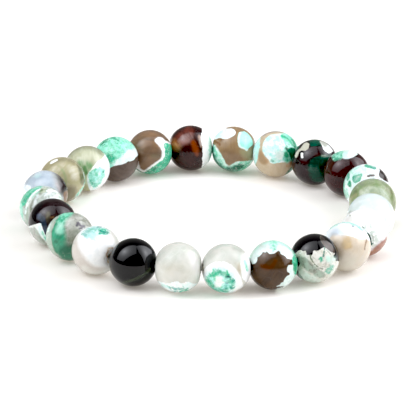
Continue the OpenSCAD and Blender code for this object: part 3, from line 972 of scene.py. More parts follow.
            311, 160, 317, 157, 323, 155, 335, 155, 335, 170, 326, 178, 322, 183, 314, 182, 309, 175,
            308, 166], blur=0.8),
        glow=patch("clear", "pine", "bottle", [
            311, 167, 318, 165, 320, 172, 319, 179, 312, 178], blur=0.9, share=0.55),
        blush=patch("clear", "garnet", "mahogany", [
            300, 159, 306, 160, 308, 163, 302, 164.5], blur=0.6, share=0.7),
        blush_b=patch("clear", "garnet", "mahogany", [
            313, 153.5, 320, 152.8, 320.5, 155.5, 314, 156.3], blur=0.5, share=0.7),
        top=patch("clear", "pine", "bottle", [
            308.8, 139, 309.8, 143, 310.3, 146.3, 314, 146.6, 318, 145.8, 320, 146.5, 321.8, 147.5,
            321.3, 144, 319.6, 141, 320.5, 136, 322, 118, 300, 116, 280, 132, 290, 150, 296, 149.5,
            299, 146.3, 301.6, 143.6, 305, 141.2, 308.3, 140.6]),
        top_deep=patch("solid", "jet", "bottle", [
            317.2, 145.3, 320.8, 144.6, 322.3, 147.2, 319, 147.6], blur=0.3, share=0.85),
        bone=patch("milky", "bone", "bone_shade", [
            304.5, 142.5, 308.7, 142.6, 309.5, 145, 308.3, 149, 305, 151, 301, 150.6, 299, 152.7,
            297.5, 156, 296, 158.3, 294.8, 156.5, 295.8, 152.5, 298.3, 149.6, 301, 148, 302.5, 145],
            ragged=0.05),
        pit=patch("solid", "jet", "soot", [
            299.3, 151.5, 302, 150.3, 304.3, 151.5, 304.6, 155, 304, 158.5, 302, 160, 299.5, 158.5,
            298.5, 155]),
        spot=vein("frosted", "frost", "pearl", 2.6, [301.8, 153.8, 302.2, 157.2], blur=0.12),
        window=patch("frosted", "frost", "snow", [
            319.9, 141.6, 322.2, 141.5, 325.8, 143.2, 328.6, 145.3, 331.4, 148.4, 333.2, 151.3, 331, 153,
            329, 153.5, 327, 152.8, 325, 151.3, 323.4, 149.3, 322.2, 146.3, 320.8, 143.6], ragged=0.05,
            blur=0.1, sharp=True),
        blush_c=patch("milky", "bone_shade", "ash", [
            319, 140.5, 324, 140.8, 328, 144.2, 326.5, 147.5, 322.5, 146.2], blur=0.4, share=0.85),
        streak=vein("clear", "green_grey", "ash_green", 1.8, [
            322, 155.8, 325.5, 155.8], blur=0.3, share=0.7)),
    # bead_15. Tan stone with a great white patch and green dye.
    bead(
        "clear", "tan", "tan_deep", 0.8, 2.2,
        flank=patch("frosted", "aqua_wash", "aqua", [
            262, 132, 260, 140, 259.8, 148, 258.3, 154, 257.7, 160, 254, 168, 235, 165, 230, 140,
            245, 122], blur=0.15),
        streak=vein("dyed", "aqua", "pale_mint", 2.0, [258.8, 143, 258, 150, 256.3, 158], blur=0.3),
        brow=vein("clear", "dusk", "ash", 2.2, [
            263, 135, 268, 132.3, 275, 130.9, 282, 131.4, 288, 133.8], blur=0.35, share=0.95),
        great=patch("frosted", "frost", "aqua", [
            262.2, 150, 262.5, 145, 263.8, 141, 266.3, 137.5, 270, 134.8, 276, 133.8, 282, 133.4,
            288, 134.6, 292, 130, 320, 125, 330, 165, 297, 168, 294, 160.5, 291, 160.4, 287, 161.8,
            282, 162.6, 277, 163, 273, 164, 270.3, 163, 268.8, 160, 265.5, 157, 263.3, 153.5],
            ragged=0.05),
        aqua=patch("frosted", "aqua", "aqua", [
            265.5, 138.5, 268.5, 137.2, 269.5, 141, 266, 142], blur=0.5, share=0.75),
        aqua_b=patch("frosted", "aqua", "aqua", [
            275, 136, 280, 135.5, 280, 139.5, 276, 140], blur=0.5, share=0.6),
        aqua_c=patch("frosted", "aqua_wash", "aqua", [
            263.5, 145, 270, 143, 273, 147, 270, 155, 265, 155], ragged=0.3, blur=0.8, share=0.6),
        warm=patch("frosted", "pearl", "bone", [
            275, 150, 283, 149, 284, 158, 280, 161, 276, 157], ragged=0.3, blur=0.8, share=0.5),
        mint=patch("dyed", "mint", "spearmint", [
            281, 133, 288, 133, 300, 128, 325, 140, 320, 165, 294, 166, 284, 161.5, 282.5, 158, 285, 154,
            284, 150, 285.5, 146, 284, 141, 280, 137], ragged=0.12, blur=0.4),
        arc=vein("dyed", "viridian", "sea", 2.6, [
            282, 136, 286, 137.5, 289.5, 140.5, 292.3, 144.5], ragged=0.1, blur=0.35),
        bright=vein("dyed", "mint", "aqua_deep", 2.2, [287.5, 135.8, 291, 138.2, 292, 140], blur=0.3),
        arc_b=vein("dyed", "jade", "sea", 2.6, [
            292.5, 139, 294.5, 143, 295.8, 148, 296, 152], ragged=0.1, blur=0.35),
        grey=patch("dyed", "teal_grey", "pale_mint", [
            285.5, 144, 289, 142.8, 291.5, 145.5, 289, 147.5, 286, 146.8], blur=0.4, share=0.8),
        dark=patch("clear", "jade", "pine", [
            284.8, 146.3, 288, 148.7, 291, 147, 294, 148, 296, 150, 297, 157, 294, 161.5, 291.3, 159.5,
            290, 156.5, 288.5, 153, 286, 150], blur=0.3),
        dark_eye=vein("clear", "pine", "bottle", 2.4, [
            287.5, 149.5, 290, 152.5, 291.3, 155], blur=0.5, share=0.25),
        leaf=patch("clear", "leaf", "sea", [
            283.6, 153, 286, 151, 288.3, 153, 289.3, 157, 287.3, 158.8, 284.6, 156.8], blur=0.35),
        pool=patch("dyed", "aqua_deep", "aqua", [
            282.8, 156.5, 284.8, 157, 286.3, 160, 285, 161.5, 283, 160], blur=0.4, share=0.8),
        pool_b=patch("dyed", "sea", "mint", [
            286.5, 158.5, 289.5, 158, 291, 160, 287, 161.8], blur=0.35, share=0.9),
        halo=patch("dyed", "aqua", "pale_mint", [
            269.5, 162, 271, 158.5, 275.5, 156.8, 277.5, 160, 275, 163.3], blur=0.4, share=0.85),
        dot=vein("dyed", "teal", "sea", 2.2, [271.6, 160.5, 273, 161.2], blur=0.35, share=0.9),
        caramel=patch("clear", "caramel", "taupe", [
            259.5, 150, 261.7, 151, 264, 155.5, 268.3, 160.5, 267.5, 164, 263, 165, 259, 162, 258, 157],
            blur=0.6, share=0.85),
        caramel_b=patch("clear", "caramel", "tan", [
            287.5, 163.5, 291, 160.8, 293.7, 160.5, 292.5, 164.5, 289, 167, 286, 167], blur=0.35),
        foot=patch("dyed", "dark_moss", "deep_sea", [
            286.5, 172, 291, 167.5, 294, 164, 310, 165, 300, 190, 284, 178], ragged=0.1, blur=0.3)),
    # bead_16. Taupe stone with a white crown, an aqua patch and a mint foot.
    bead(
        "clear", "taupe", "taupe_deep", 0.6, 1.8,
        olive=patch("clear", "khaki_deep", "olive_foot", [
            238, 149, 249, 149.5, 256, 144, 265, 150, 258, 161, 244, 160], blur=0.9, share=0.8),
        low=patch("clear", "umber_deep", "taupe_deep", [
            222, 150, 232, 151, 242, 158, 236, 163, 227, 165, 222, 158], blur=1.2, share=0.7),
        dark=vein("clear", "ochre", "ochre", 2.4, [
            209, 140.5, 213.5, 140.8, 217, 142.3, 219.5, 144.5], blur=0.4),
        dark_b=vein("clear", "ochre", "ochre", 1.4, [217.5, 139.2, 220.5, 138.6, 223.5, 139.3], blur=0.3),
        crown=patch("frosted", "frost", "aqua_wash", [
            203, 143, 210, 140.2, 214, 139.9, 216.5, 138.6, 220, 138, 223, 138.6, 226, 139.3, 229, 138.2,
            232, 137, 234.5, 135.2, 236, 133, 235.2, 130.6, 233.5, 129, 230, 128.3, 226, 128.8, 222, 125,
            210, 105, 185, 120, 183, 145], ragged=0.05),
        tint=patch("frosted", "aqua", "frost", [
            214, 132, 221, 129, 224, 134, 221, 138, 215, 138], blur=0.5, share=0.6),
        aqua=patch("frosted", "aqua", "spearmint", [
            239, 132.3, 243, 131.2, 246, 132, 249, 135, 251.7, 138, 253.2, 142, 252.4, 145.7, 250, 147.3,
            248, 149, 246.5, 150.5, 244.5, 149.6, 242, 148, 239.5, 147.5, 238.2, 145, 237.5, 141,
            237.8, 136], blur=0.1),
        aqua_rim=vein("frosted", "frost", "frost", 1.8, [
            247, 150, 243.5, 148.3, 240, 147, 238.8, 143, 238.8, 136, 240.5, 133], blur=0.3, share=0.7),
        mint=patch("dyed", "mint", "pale_mint", [
            209, 143, 212.5, 143.5, 214.5, 145, 217, 148.5, 219.5, 152, 222, 156, 224.5, 160.5,
            226.5, 164.3, 228.5, 166.3, 231, 165, 235, 162.5, 238.5, 161, 242, 161.2, 246, 161, 250, 160.3,
            255, 160, 275, 170, 262, 200, 225, 210, 192, 185, 196, 150], ragged=0.06, blur=0.15),
        basin=patch("dyed", "sea", "mint", [
            220, 165, 228, 169, 238, 166, 247, 164, 252, 168, 240, 178, 225, 178, 214, 170], ragged=0.2,
            blur=0.8, share=0.75),
        inner=vein("frosted", "pale_mint", "frost", 1.8, [
            215, 146, 218.5, 152, 221.8, 158, 224.5, 163, 228, 167, 233, 164.5, 239, 162], ragged=0.1,
            blur=0.35, share=0.7),
        deep_a=vein("dyed", "deep_sea", "teal", 3.4, [
            213.3, 156, 215.5, 160.5, 219.5, 165.3, 224, 169.3], ragged=0.2, blur=0.6),
        deep_b=vein("dyed", "deep_sea", "deep_sea", 5.5, [
            225, 170.3, 231, 169.6, 236, 168.5, 240.5, 166.3], ragged=0.2, blur=0.7),
        edge=vein("clear", "deep_sea", "pine", 2.6, [
            211.5, 143, 212.4, 149, 212.7, 155, 214.5, 160, 218, 165, 223, 169.5], blur=0.35, share=0.8)),
    # bead_17. Red brown and amber stone with a white band.
    bead(
        "clear", "mahogany", "garnet_deep", 0.3, 1.2,
        redwood=patch("clear", "redwood", "russet", [
            173, 141, 178, 134, 184, 129, 188, 127, 192, 127.5, 194, 132, 192, 138, 190, 142, 187, 145,
            181, 146, 176, 143], blur=1.0, share=0.9),
        amber=patch("clear", "caramel", "amber", [
            167, 144, 171.5, 140, 177, 141, 180.5, 145, 178, 149.5, 173, 150, 169, 149], blur=1.6,
            share=0.95),
        # haze: painted reflection, a pale greyish lilac that brightens the soft box's mirror image on the
        # top.
        haze=patch("clear", "dusk", "russet", [
            180, 134, 187, 132.5, 193, 134, 193.5, 140, 189, 144, 182, 143.5], blur=1.2, share=0.35),
        orange=patch("clear", "orange", "orange", [
            190.5, 141, 193, 139, 196, 142.5, 198.3, 148, 199, 154, 196.5, 156.5, 193.8, 151.5,
            191.3, 146], blur=0.7, share=0.9),
        shine=patch("clear", "dusk", "caramel", [
            197.6, 135.3, 200.5, 135.3, 201.6, 140, 202.5, 146, 201, 148.5, 199.3, 143.5], blur=0.4,
            share=0.8),
        band=patch("frosted", "frost", "snow", [
            203, 118, 201.8, 125, 201.5, 127.5, 202.3, 130.5, 201.4, 133, 200.7, 136, 200.9, 140, 202, 144,
            202.9, 147.5, 202.1, 151, 203, 154.5, 202, 158, 202.7, 162, 202, 166, 201.3, 169.5, 200.5, 178,
            215, 205, 248, 175, 250, 130, 222, 95], ragged=0.06, blur=0.08),
        mint=patch("dyed", "pale_mint", "mint", [
            206.5, 128, 209.3, 135, 209, 142, 208.3, 149, 209.5, 156, 208.8, 163, 207, 170, 225, 185,
            250, 160, 240, 125], ragged=0.12, blur=0.35, share=0.85),
        edge=vein("clear", "deep_sea", "ash_green", 1.6, [
            210, 131, 211.8, 137, 213, 144, 213.2, 152, 212.8, 157], blur=0.3, share=0.9)),
    # bead_18. Umber stone with a white and green band.
    bead(
        "clear", "umber", "umber_deep", 0.55, 1.6,
        # rim: painted shade, a darker brown along the top outline, where the dim room mirrors in the stone.
        rim=vein("clear", "cocoa", "umber_deep", 2.0, [
            131, 141, 135, 135.8, 141, 132, 148, 130.2, 155, 130.8, 161, 134.3, 165.5, 139.5], blur=0.5,
            share=0.6),
        dusk=patch("clear", "khaki_dark", "cocoa", [
            149, 154, 156, 152, 162, 153, 162, 158, 152, 158.5], blur=0.9, share=0.6),
        band=patch("frosted", "frost", "snow", [
            153.8, 140.3, 157, 137.6, 160, 136.8, 163.5, 138.7, 166.5, 142, 190, 145, 195, 175, 165, 200,
            132, 195, 118, 175, 134, 162, 138.2, 160, 139, 165, 140.8, 169, 143.7, 170.7, 146.7, 169.3,
            150, 166.3, 154, 163.2, 158.3, 160.6, 161.4, 157.7, 162.2, 153, 161.5, 149.5, 159.4, 146.2,
            157, 143.6], ragged=0.05, blur=0.35),
        green=patch("dyed", "sea", "viridian", [
            163.3, 144, 166, 142.3, 169, 144, 188, 148, 185, 175, 160, 192, 135, 188, 124, 172, 137, 168.5,
            140, 171.3, 144, 173, 147.5, 171, 151, 168, 155, 165.5, 160, 162, 164, 158.5, 165.3, 153,
            164.7, 148.5], ragged=0.1, blur=0.2),
        deep=vein("dyed", "deep_sea", "sea", 3.0, [
            147, 171.8, 152, 170.3, 157, 167.5], ragged=0.2, blur=0.5, share=0.7),
        deep_b=vein("dyed", "jade", "sea", 1.6, [
            166.3, 149, 166.8, 154, 166, 159], ragged=0.15, blur=0.4, share=0.6),
        foot=vein("clear", "pine", "deep_sea", 1.6, [
            136, 169.5, 140, 172.3, 145, 174], blur=0.3, share=0.8)),
    # bead_19. Mint stone over a brown foot.
    bead(
        "dyed", "spearmint", "mint", 0.6, 1.4,
        white=patch("frosted", "frost", "aqua_wash", [
            112, 168, 113, 162, 118, 158.5, 122, 155.5, 127, 152.3, 131.5, 149.5, 136, 146, 145, 144,
            150, 150, 140, 165, 120, 172], ragged=0.3, blur=0.7, share=0.9),
        green_a=vein("dyed", "jade", "sea", 3.2, [101, 144, 103.5, 142, 107, 140], ragged=0.3, blur=0.4),
        green_b=vein("dyed", "sea", "jade", 2.2, [
            111.5, 138, 114.5, 139, 119, 141], ragged=0.25, blur=0.35),
        green_c=patch("dyed", "viridian", "sea", [
            106, 153, 110, 154.5, 114, 156, 115, 159, 112, 163, 108, 160], ragged=0.35, blur=0.5),
        green_d=vein("speckled", "sea", "mint", 2.4, [
            113, 146, 113.5, 149, 115.5, 152.5], ragged=0.3, blur=0.4, share=0.8),
        green_e=vein("speckled", "sea", "mint", 2.2, [
            116, 143, 118.5, 145.5], ragged=0.3, blur=0.4, share=0.8),
        green_f=vein("speckled", "sea", "mint", 2.0, [
            124, 149, 126.5, 147.3], ragged=0.3, blur=0.4, share=0.6),
        green_g=vein("speckled", "mint", "spearmint", 2.2, [
            126, 142.5, 130, 145, 132.5, 148.5], ragged=0.3, blur=0.4, share=0.8),
        brown=patch("clear", "cocoa", "cocoa_deep", [
            98, 168, 109, 169.5, 111, 167.5, 113, 166, 117, 165.5, 121, 164.8, 125, 163.3, 127.5, 162,
            128.5, 161, 130.3, 161.5, 134, 160, 136, 157.5, 138, 155, 145, 148, 170, 155, 168, 195,
            125, 215, 88, 200], ragged=0.05, blur=0.1)),
    # bead_20. Sage stone with a white and mint end.
    bead(
        "clear", "sage", "sage_light", 0.8, 2.4,
        # brow: painted shade, a darker olive along the top outline.
        brow=vein("clear", "khaki_dark", "ash_green", 5.5, [
            66, 158, 71, 151.5, 78, 147.5, 86, 145.7, 95, 147, 102, 151.5], blur=1.1, share=0.75),
        green=patch("clear", "moss", "olive_light", [
            77, 160, 86, 160, 92, 163, 93.5, 167, 89, 170, 87, 176, 82, 174, 78, 168], blur=0.7),
        deep=vein("clear", "dark_moss", "moss", 3.0, [84.5, 167, 86, 173], blur=0.5),
        foot=patch("clear", "olive_foot", "khaki", [
            80, 183, 87, 184, 89.5, 188, 91, 190.5, 95, 192, 95, 215, 70, 210], blur=0.4),
        white=patch("frosted", "frost", "snow", [
            104.5, 148, 108, 154, 111, 160, 130, 155, 145, 190, 110, 222, 88, 205, 91, 192, 89, 188,
            88.5, 184, 87, 180, 87, 176.5, 88.5, 172.5, 91, 169.5, 93, 166.5, 95, 163.7, 98, 161,
            101, 159.2, 103.7, 157, 104.8, 154], ragged=0.07),
        mint=patch("dyed", "mint", "aqua", [
            89, 172.5, 92, 169.3, 97, 168, 102.5, 168, 105.3, 171, 104.7, 176, 102, 181, 98, 186,
            94, 189.5, 91, 187.5, 89, 182, 88, 177], ragged=0.25, blur=0.35),
        teal=vein("dyed", "teal", "mint", 3.0, [
            91.5, 175, 91.7, 180, 94, 185], ragged=0.3, blur=0.5, share=0.6),
        teal_b=vein("dyed", "teal", "mint", 2.2, [
            103, 172, 102.7, 177, 100.5, 181], ragged=0.3, blur=0.4, share=0.6),
        gap=vein("frosted", "frost", "aqua", 2.4, [
            99.5, 171, 99.3, 177, 97.5, 183], ragged=0.3, blur=0.5, share=0.7),
        mist=vein("milky", "ice_shade", "mist", 2.4, [88.3, 181, 89.8, 187], blur=0.3, share=0.7)),
    # bead_21. Khaki stone with a mint foot.
    bead(
        "clear", "khaki", "olive_foot", 0.8, 2.4,
        ember=vein("speckled", "amber", "khaki_deep", 2.2, [
            44, 168, 47, 165.5], ragged=0.3, blur=0.4, share=0.4),
        # crown: painted shade, a darker khaki along the top outline, where the translucent stone shows the
        # dim room behind it.
        crown=vein("clear", "khaki_dark", "khaki_deep", 5.0, [
            44, 170, 50, 163.5, 58, 159.5, 66, 158.5, 74, 162.5], blur=0.8, share=0.8),
        edge=patch("clear", "bark_green", "khaki_dark", [
            76, 160, 81, 162, 86, 170, 88, 181, 84, 187, 80, 183, 80, 176, 78, 169], blur=0.5, share=0.95),
        sheen=patch("clear", "bone", "khaki", [
            66, 166, 72, 165, 77, 172, 78, 181, 73, 180, 69, 173], blur=0.8, share=0.5),
        moss=vein("clear", "olive_foot", "moss", 2.2, [
            58, 165, 63, 170, 65.5, 177, 66, 185], blur=0.5, share=0.55),
        streak=vein("clear", "olive_foot", "khaki", 1.3, [
            54, 164.5, 60, 166, 66, 171.5, 69, 179], blur=0.4, share=0.5),
        line=vein("frosted", "celadon", "pearl", 0.9, [
            77, 161, 81, 166, 83.7, 172, 84.9, 179], blur=0.12, share=0.8),
        white=patch("frosted", "frost", "snow", [
            49.6, 163.4, 51.6, 161.2, 54, 159.8, 57.2, 158.8, 58.2, 159.8, 57.4, 160.8, 55, 162,
            52.7, 163.5, 50.5, 164.2], ragged=0.05, blur=0.1),
        mint=patch("dyed", "mint", "celadon", [
            88, 178, 84.8, 180, 83.8, 185, 81, 189, 78.5, 191.7, 76, 193.7, 74.5, 196.5, 76, 215, 105, 210,
            110, 180], blur=0.2),
        foot=patch("clear", "khaki_dark", "umber_deep", [
            60, 187, 69, 185.5, 77, 187, 76, 197, 66, 205], blur=0.9, share=0.85)),
    # bead_22. Blue grey stone with a dark end.
    bead(
        "milky", "steel", "mist_deep", 0.8, 2.4,
        mint=patch("milky", "pale_mint", "mist", [
            31, 177, 36, 173, 41, 172, 40, 177, 34, 179], blur=0.6, share=0.5),
        left=patch("milky", "steel", "mist_deep", [
            27, 181, 31, 177.5, 35, 176, 35.5, 181, 33, 185, 29.5, 184.5], blur=0.6),
        edge=vein("milky", "steel", "ash", 1.5, [
            25.2, 185, 27, 181.5, 30, 177.8, 34, 174.5], blur=0.3, share=0.6),
        # light: painted highlight, a paler mist patch on the middle left.
        light=patch("milky", "mist", "mist_deep", [
            38, 182, 44, 179.5, 50, 181, 48, 185, 40, 186], blur=0.7, share=0.7),
        nick=patch("frosted", "frost", "mist", [
            20, 189, 24.3, 185.3, 27.5, 184.3, 31, 185.3, 31, 190, 24, 198], ragged=0.2, blur=0.4,
            share=0.9),
        grey=patch("clear", "ash", "dusk", [
            50.5, 168, 53, 173, 54, 178, 55, 184, 57, 190, 61.5, 198, 70, 192, 80, 180, 75, 160, 60, 160],
            blur=1.6, share=0.75),
        dark=patch("clear", "plum_brown", "plum_deep", [
            54, 168, 57.2, 173.5, 58.3, 179, 58.5, 184, 59.3, 190, 63, 195.5, 66.5, 190, 80, 180, 75, 160,
            60, 160], blur=1.5),
        # blush: painted highlight, a pale lilac streak beside the dark end.
        blush=vein("milky", "dusk", "lilac", 2.0, [
            56.5, 183.5, 58.8, 187.5, 60, 191], blur=0.5, share=0.35),
        foot=patch("clear", "umber", "umber_deep", [
            63, 194, 65, 191, 72, 190, 75, 205, 65, 208, 63.5, 200], blur=0.3)),
    # bead_23. Silver crackled stone with a green end.
    bead(
        "crazed", "silver", "silver_deep", 0.75, 2.2,
        wisp=vein("clear", "ash", "ash_green", 3.6, [
            40.5, 192.5, 35, 196.5, 32, 203, 30.5, 212], ragged=0.15, blur=0.5, share=0.95),
        pit=vein("clear", "ash_green", "ash", 2.2, [29.8, 205, 29.5, 208.5], blur=0.4, share=0.7),
        pale=vein("frosted", "snow", "blue_grey", 2.2, [
            38, 195.5, 35.3, 201, 33.3, 207.5], ragged=0.15, blur=0.4, share=0.8),
        green_a=vein("clear", "green_grey", "lichen", 2.8, [
            30, 198.5, 27.6, 205, 27, 212, 27.5, 221], ragged=0.1, blur=0.5, share=0.85),
        pale_b=vein("frosted", "pearl", "silver", 1.4, [
            31.3, 199, 29, 205, 28.8, 213], ragged=0.1, blur=0.3, share=0.6),
        haze=patch("crazed", "blue_grey", "silver", [
            43, 193.5, 50, 192.3, 54, 194.5, 50, 196.5, 44, 198.5], ragged=0.15, blur=0.4, share=0.8),
        fern=patch("speckled", "lichen", "pearl", [
            54.5, 192.5, 58.5, 191.5, 62, 195.5, 62, 200, 57, 197.8], ragged=0.2, blur=0.3, share=0.9),
        halo=patch("crazed", "olive_grey", "olive_light", [
            39.5, 189, 44, 187.4, 48.5, 188, 47, 190.5, 43.5, 192.8, 40, 192.5], ragged=0.12, blur=0.4,
            share=0.85),
        olive=vein("clear", "dark_moss", "bark_green", 2.0, [
            39.8, 190.8, 42.3, 189.8], blur=0.35, share=0.9),
        # arc: painted highlight, a white arc where a soft box mirrors in the glassy top.
        arc=vein("frosted", "frost", "snow", 1.8, [
            47, 190.9, 50.5, 190.3, 54.5, 190.6, 58, 192.2], ragged=0.08, blur=0.25),
        arc_b=vein("frosted", "frost", "snow", 1.3, [
            44.5, 196, 47.5, 193.4, 51, 192.6], ragged=0.1, blur=0.25, share=0.7),
        white=patch("frosted", "snow", "silver", [
            40, 204, 43.5, 200.5, 47, 198, 51, 196.8, 56, 196.4, 60, 198.3, 62, 202, 52, 203], ragged=0.12,
            blur=0.25),
        green=patch("dyed", "sea", "viridian", [
            42, 185.5, 36, 187, 31, 189, 20, 180, 8, 190, 5, 210, 20, 207, 23.6, 206, 26, 203, 28.6, 199,
            31.4, 195, 34.6, 192, 38, 189.8, 41.5, 188.4], ragged=0.15, blur=0.35),
        veil=vein("dyed", "mint", "pale_mint", 2.0, [
            42, 186.6, 36, 188, 31.5, 190.3, 27.6, 194], ragged=0.2, blur=0.4, share=0.5),
        outer=patch("frosted", "pale_mint", "mint", [
            22.9, 203.5, 22.6, 209, 23, 216, 24.5, 223, 15, 228, 3, 212, 14, 203], blur=0.3),
        line=vein("frosted", "frost", "aqua_wash", 1.4, [
            40, 188.9, 35.4, 191.8, 31.6, 195.4, 28.8, 200, 26.6, 206, 25.4, 214], ragged=0.1, blur=0.25),
        mint=vein("dyed", "pale_mint", "spearmint", 1.8, [
            37.8, 192.3, 35, 194.8, 33, 198], ragged=0.2, blur=0.5, share=0.5)),
    # bead_24. Dark plum stone over a broken white and grey foot.
    bead(
        "clear", "plum_brown", "plum_deep", 0.05, 0.5,
        left=patch("clear", "jet", "soot", [
            28, 228, 30, 215, 35, 206.5, 41, 202, 44, 204.5, 40, 210, 37, 216, 37.5, 225], blur=0.7,
            share=0.9),
        tea=vein("clear", "soot", "plum_deep", 2.2, [
            39.5, 209.5, 43, 206, 48, 204.6], blur=0.5, share=0.6),
        olive=patch("clear", "khaki_dark", "flint", [
            45.5, 212, 50, 211, 51, 217, 48.5, 224, 46, 221], blur=0.7, share=0.6),
        slate=patch("clear", "slate", "slate_deep", [
            38.5, 213, 42, 214, 45, 218, 46.7, 226, 47.7, 233, 47.5, 238, 43.5, 231, 41.7, 225,
            40.7, 221.5, 37.5, 219, 36.8, 215], blur=0.5),
        slate_eye=vein("clear", "slate_deep", "jet", 2.6, [
            42.3, 216.5, 43.5, 222, 45, 228], blur=0.6, share=0.7),
        ember=patch("clear", "dark_brown", "plum_brown", [
            50.5, 214.5, 55, 213.3, 58, 215, 54, 218.5, 50.5, 217.5], blur=0.4, share=0.8),
        amber=vein("clear", "taupe_deep", "ochre", 1.6, [51, 217.6, 53.2, 217.2], blur=0.4, share=0.8),
        broken=patch("frosted", "frost", "aqua_wash", [
            15, 229, 25, 226.7, 31, 225.7, 36, 224.3, 40.8, 222.6, 41.6, 225.5, 43.4, 230.5, 45.6, 235,
            48.2, 238.5, 53, 243, 70, 262, 55, 285, 20, 270, 5, 250], ragged=0.04, blur=0.1),
        beige=patch("frosted", "pearl", "bone", [
            28, 229, 31, 225.3, 37, 224, 38, 226.5, 33, 228], blur=0.25, share=0.8),
        mint=patch("dyed", "pale_mint", "mint", [
            41.5, 230, 45.6, 235.5, 48.2, 239, 53, 243, 51, 245, 45.5, 240.5, 41.5, 235], ragged=0.1,
            blur=0.3, share=0.9),
        grey=patch("crazed", "silver_deep", "granite", [
            20, 230, 31, 227.5, 35.5, 227, 38, 232, 41, 237, 45, 241.5, 51, 246, 56, 262, 35, 275,
            15, 250], ragged=0.1, blur=0.3),
        moss=patch("clear", "lichen", "green_grey", [
            34, 229, 37, 229.5, 38.5, 234, 36, 235], blur=0.4, share=0.7),
        olive_b=vein("clear", "ash_green", "ash", 2.2, [
            39.5, 236.5, 43, 240.5, 48.5, 246], blur=0.4, share=0.7)),
]


def light_of(name):
    """A named colour turned from what the eye reads into light."""
    light = []
    for value in PAINT[name]:
        share = value / EYE_FULL
        straight = share / EYE_SLOPE
        light.append(straight if share <= EYE_STEP else ((share + EYE_LIFT) / (1 + EYE_LIFT)) ** EYE_POWER)
    return (*light, 1.0)


def new_group(name, inputs, outputs):
    """An empty shader node group with named sockets, what it is given, and the node for its results. Every
    material fills all its inputs."""
    tree = bpy.data.node_groups.new(name, "ShaderNodeTree")
    for side, sockets in (("INPUT", inputs), ("OUTPUT", outputs)):
        for socket, kind in sockets.items():
            tree.interface.new_socket(name=socket, in_out=side, socket_type=f"NodeSocket{kind}")
    return tree, tree.nodes.new("NodeGroupInput").outputs, tree.nodes.new("NodeGroupOutput")


def make_agate_group():
    """The body of the stone: clouds of two colours, with crackle through them. A cloud is slow noise
    squeezed into bands, with some fine noise and some of every crackle cell's own value in it. The
    crackle's lines run where cells of a warped cell pattern meet, in some places only."""
    tree, given, result = new_group(
        "agate_body",
        dict(Vector="Vector", Light="Color", Deep="Color", Cloud="Float", Grain="Float", Mosaic="Float",
             Contrast="Float", Bands="Float", Crack="Color", Lines="Float", Cell="Float"),
        dict(Color="Color", Lines="Float"))
    per_cloud = sums(tree, "DIVIDE", 1.0, given["Cloud"])
    squeeze = put(tree, "ShaderNodeCombineXYZ", {0: 1.0, 1: 1.0, 2: given["Bands"]}).outputs[0]
    banded = vector_sum(tree, "MULTIPLY", given["Vector"], squeeze)
    slow = noise(tree, banded, per_cloud, CLOUD_DETAIL, Distortion=CLOUD_SWIRL)[0]
    per_grain = sums(tree, "MULTIPLY", per_cloud, GRAIN_FINER)
    fine, fine_colour = noise(tree, banded, per_grain, GRAIN_DETAIL, Roughness=GRAIN_ROUGHNESS)
    cloud = mix(tree, given["Grain"], slow, fine)
    warp = vector_sum(tree, "MULTIPLY_ADD", fine_colour, [CRACKLE_WARP] * 3, given["Vector"])
    cell_place = {"Vector": warp, "Scale": sums(tree, "DIVIDE", 1.0, given["Cell"])}
    cells = put(tree, "ShaderNodeTexVoronoi", cell_place)
    own = put(tree, "ShaderNodeSeparateXYZ", {0: cells.outputs["Color"]}).outputs[0]
    pieced = mix(tree, given["Mosaic"], cloud, own)
    parting = {0: given["Contrast"], 1: -PARTING_FALL, 2: PARTING}
    spread = put(tree, "ShaderNodeMath", parting, operation="MULTIPLY_ADD").outputs[0]
    start = sums(tree, "SUBTRACT", 0.5, spread)
    parted = smooth_rise(tree, pieced, start, sums(tree, "ADD", 0.5, spread))
    colour = blend(tree, parted, given["Light"], given["Deep"])
    edges = put(tree, "ShaderNodeTexVoronoi", cell_place, feature="DISTANCE_TO_EDGE")
    in_mm = sums(tree, "MULTIPLY", edges.outputs["Distance"], given["Cell"])
    places = smooth_rise(tree, slow, *CRACKLE_PLACES)
    off_line = smooth_rise(tree, in_mm, 0.0, CRACKLE_WIDTH)
    lines = sums(tree, "MULTIPLY", sums(tree, "SUBTRACT", 1.0, off_line), places)
    shown = sums(tree, "MULTIPLY", lines, given["Lines"])
    fill(tree, result, {"Color": blend(tree, shown, colour, given["Crack"]), "Lines": shown})
    return tree


def make_edge_group():
    """The mask of a marking: its distance, moved in and out by noise, rises from 0 to the share over the
    blur."""
    tree, given, result = new_group(
        "broken_edge",
        dict(Distance="Float", Vector="Vector", Ragged="Float", Blur="Float", Share="Float"),
        dict(Mask="Float"))
    wander = noise(tree, given["Vector"], EDGE_NOISE, EDGE_DETAIL, Roughness=EDGE_ROUGHNESS)[0]
    reach = sums(tree, "MULTIPLY", EDGE_REACH, given["Ragged"])
    shift = sums(tree, "MULTIPLY", sums(tree, "SUBTRACT", wander, 0.5), reach)
    half = sums(tree, "MULTIPLY", given["Blur"], 0.5)
    moved = sums(tree, "ADD", given["Distance"], shift)
    mask = smooth_rise(tree, moved, sums(tree, "MULTIPLY", half, -1.0), half)
    fill(tree, result, {"Mask": sums(tree, "MULTIPLY", mask, given["Share"])})
    return tree


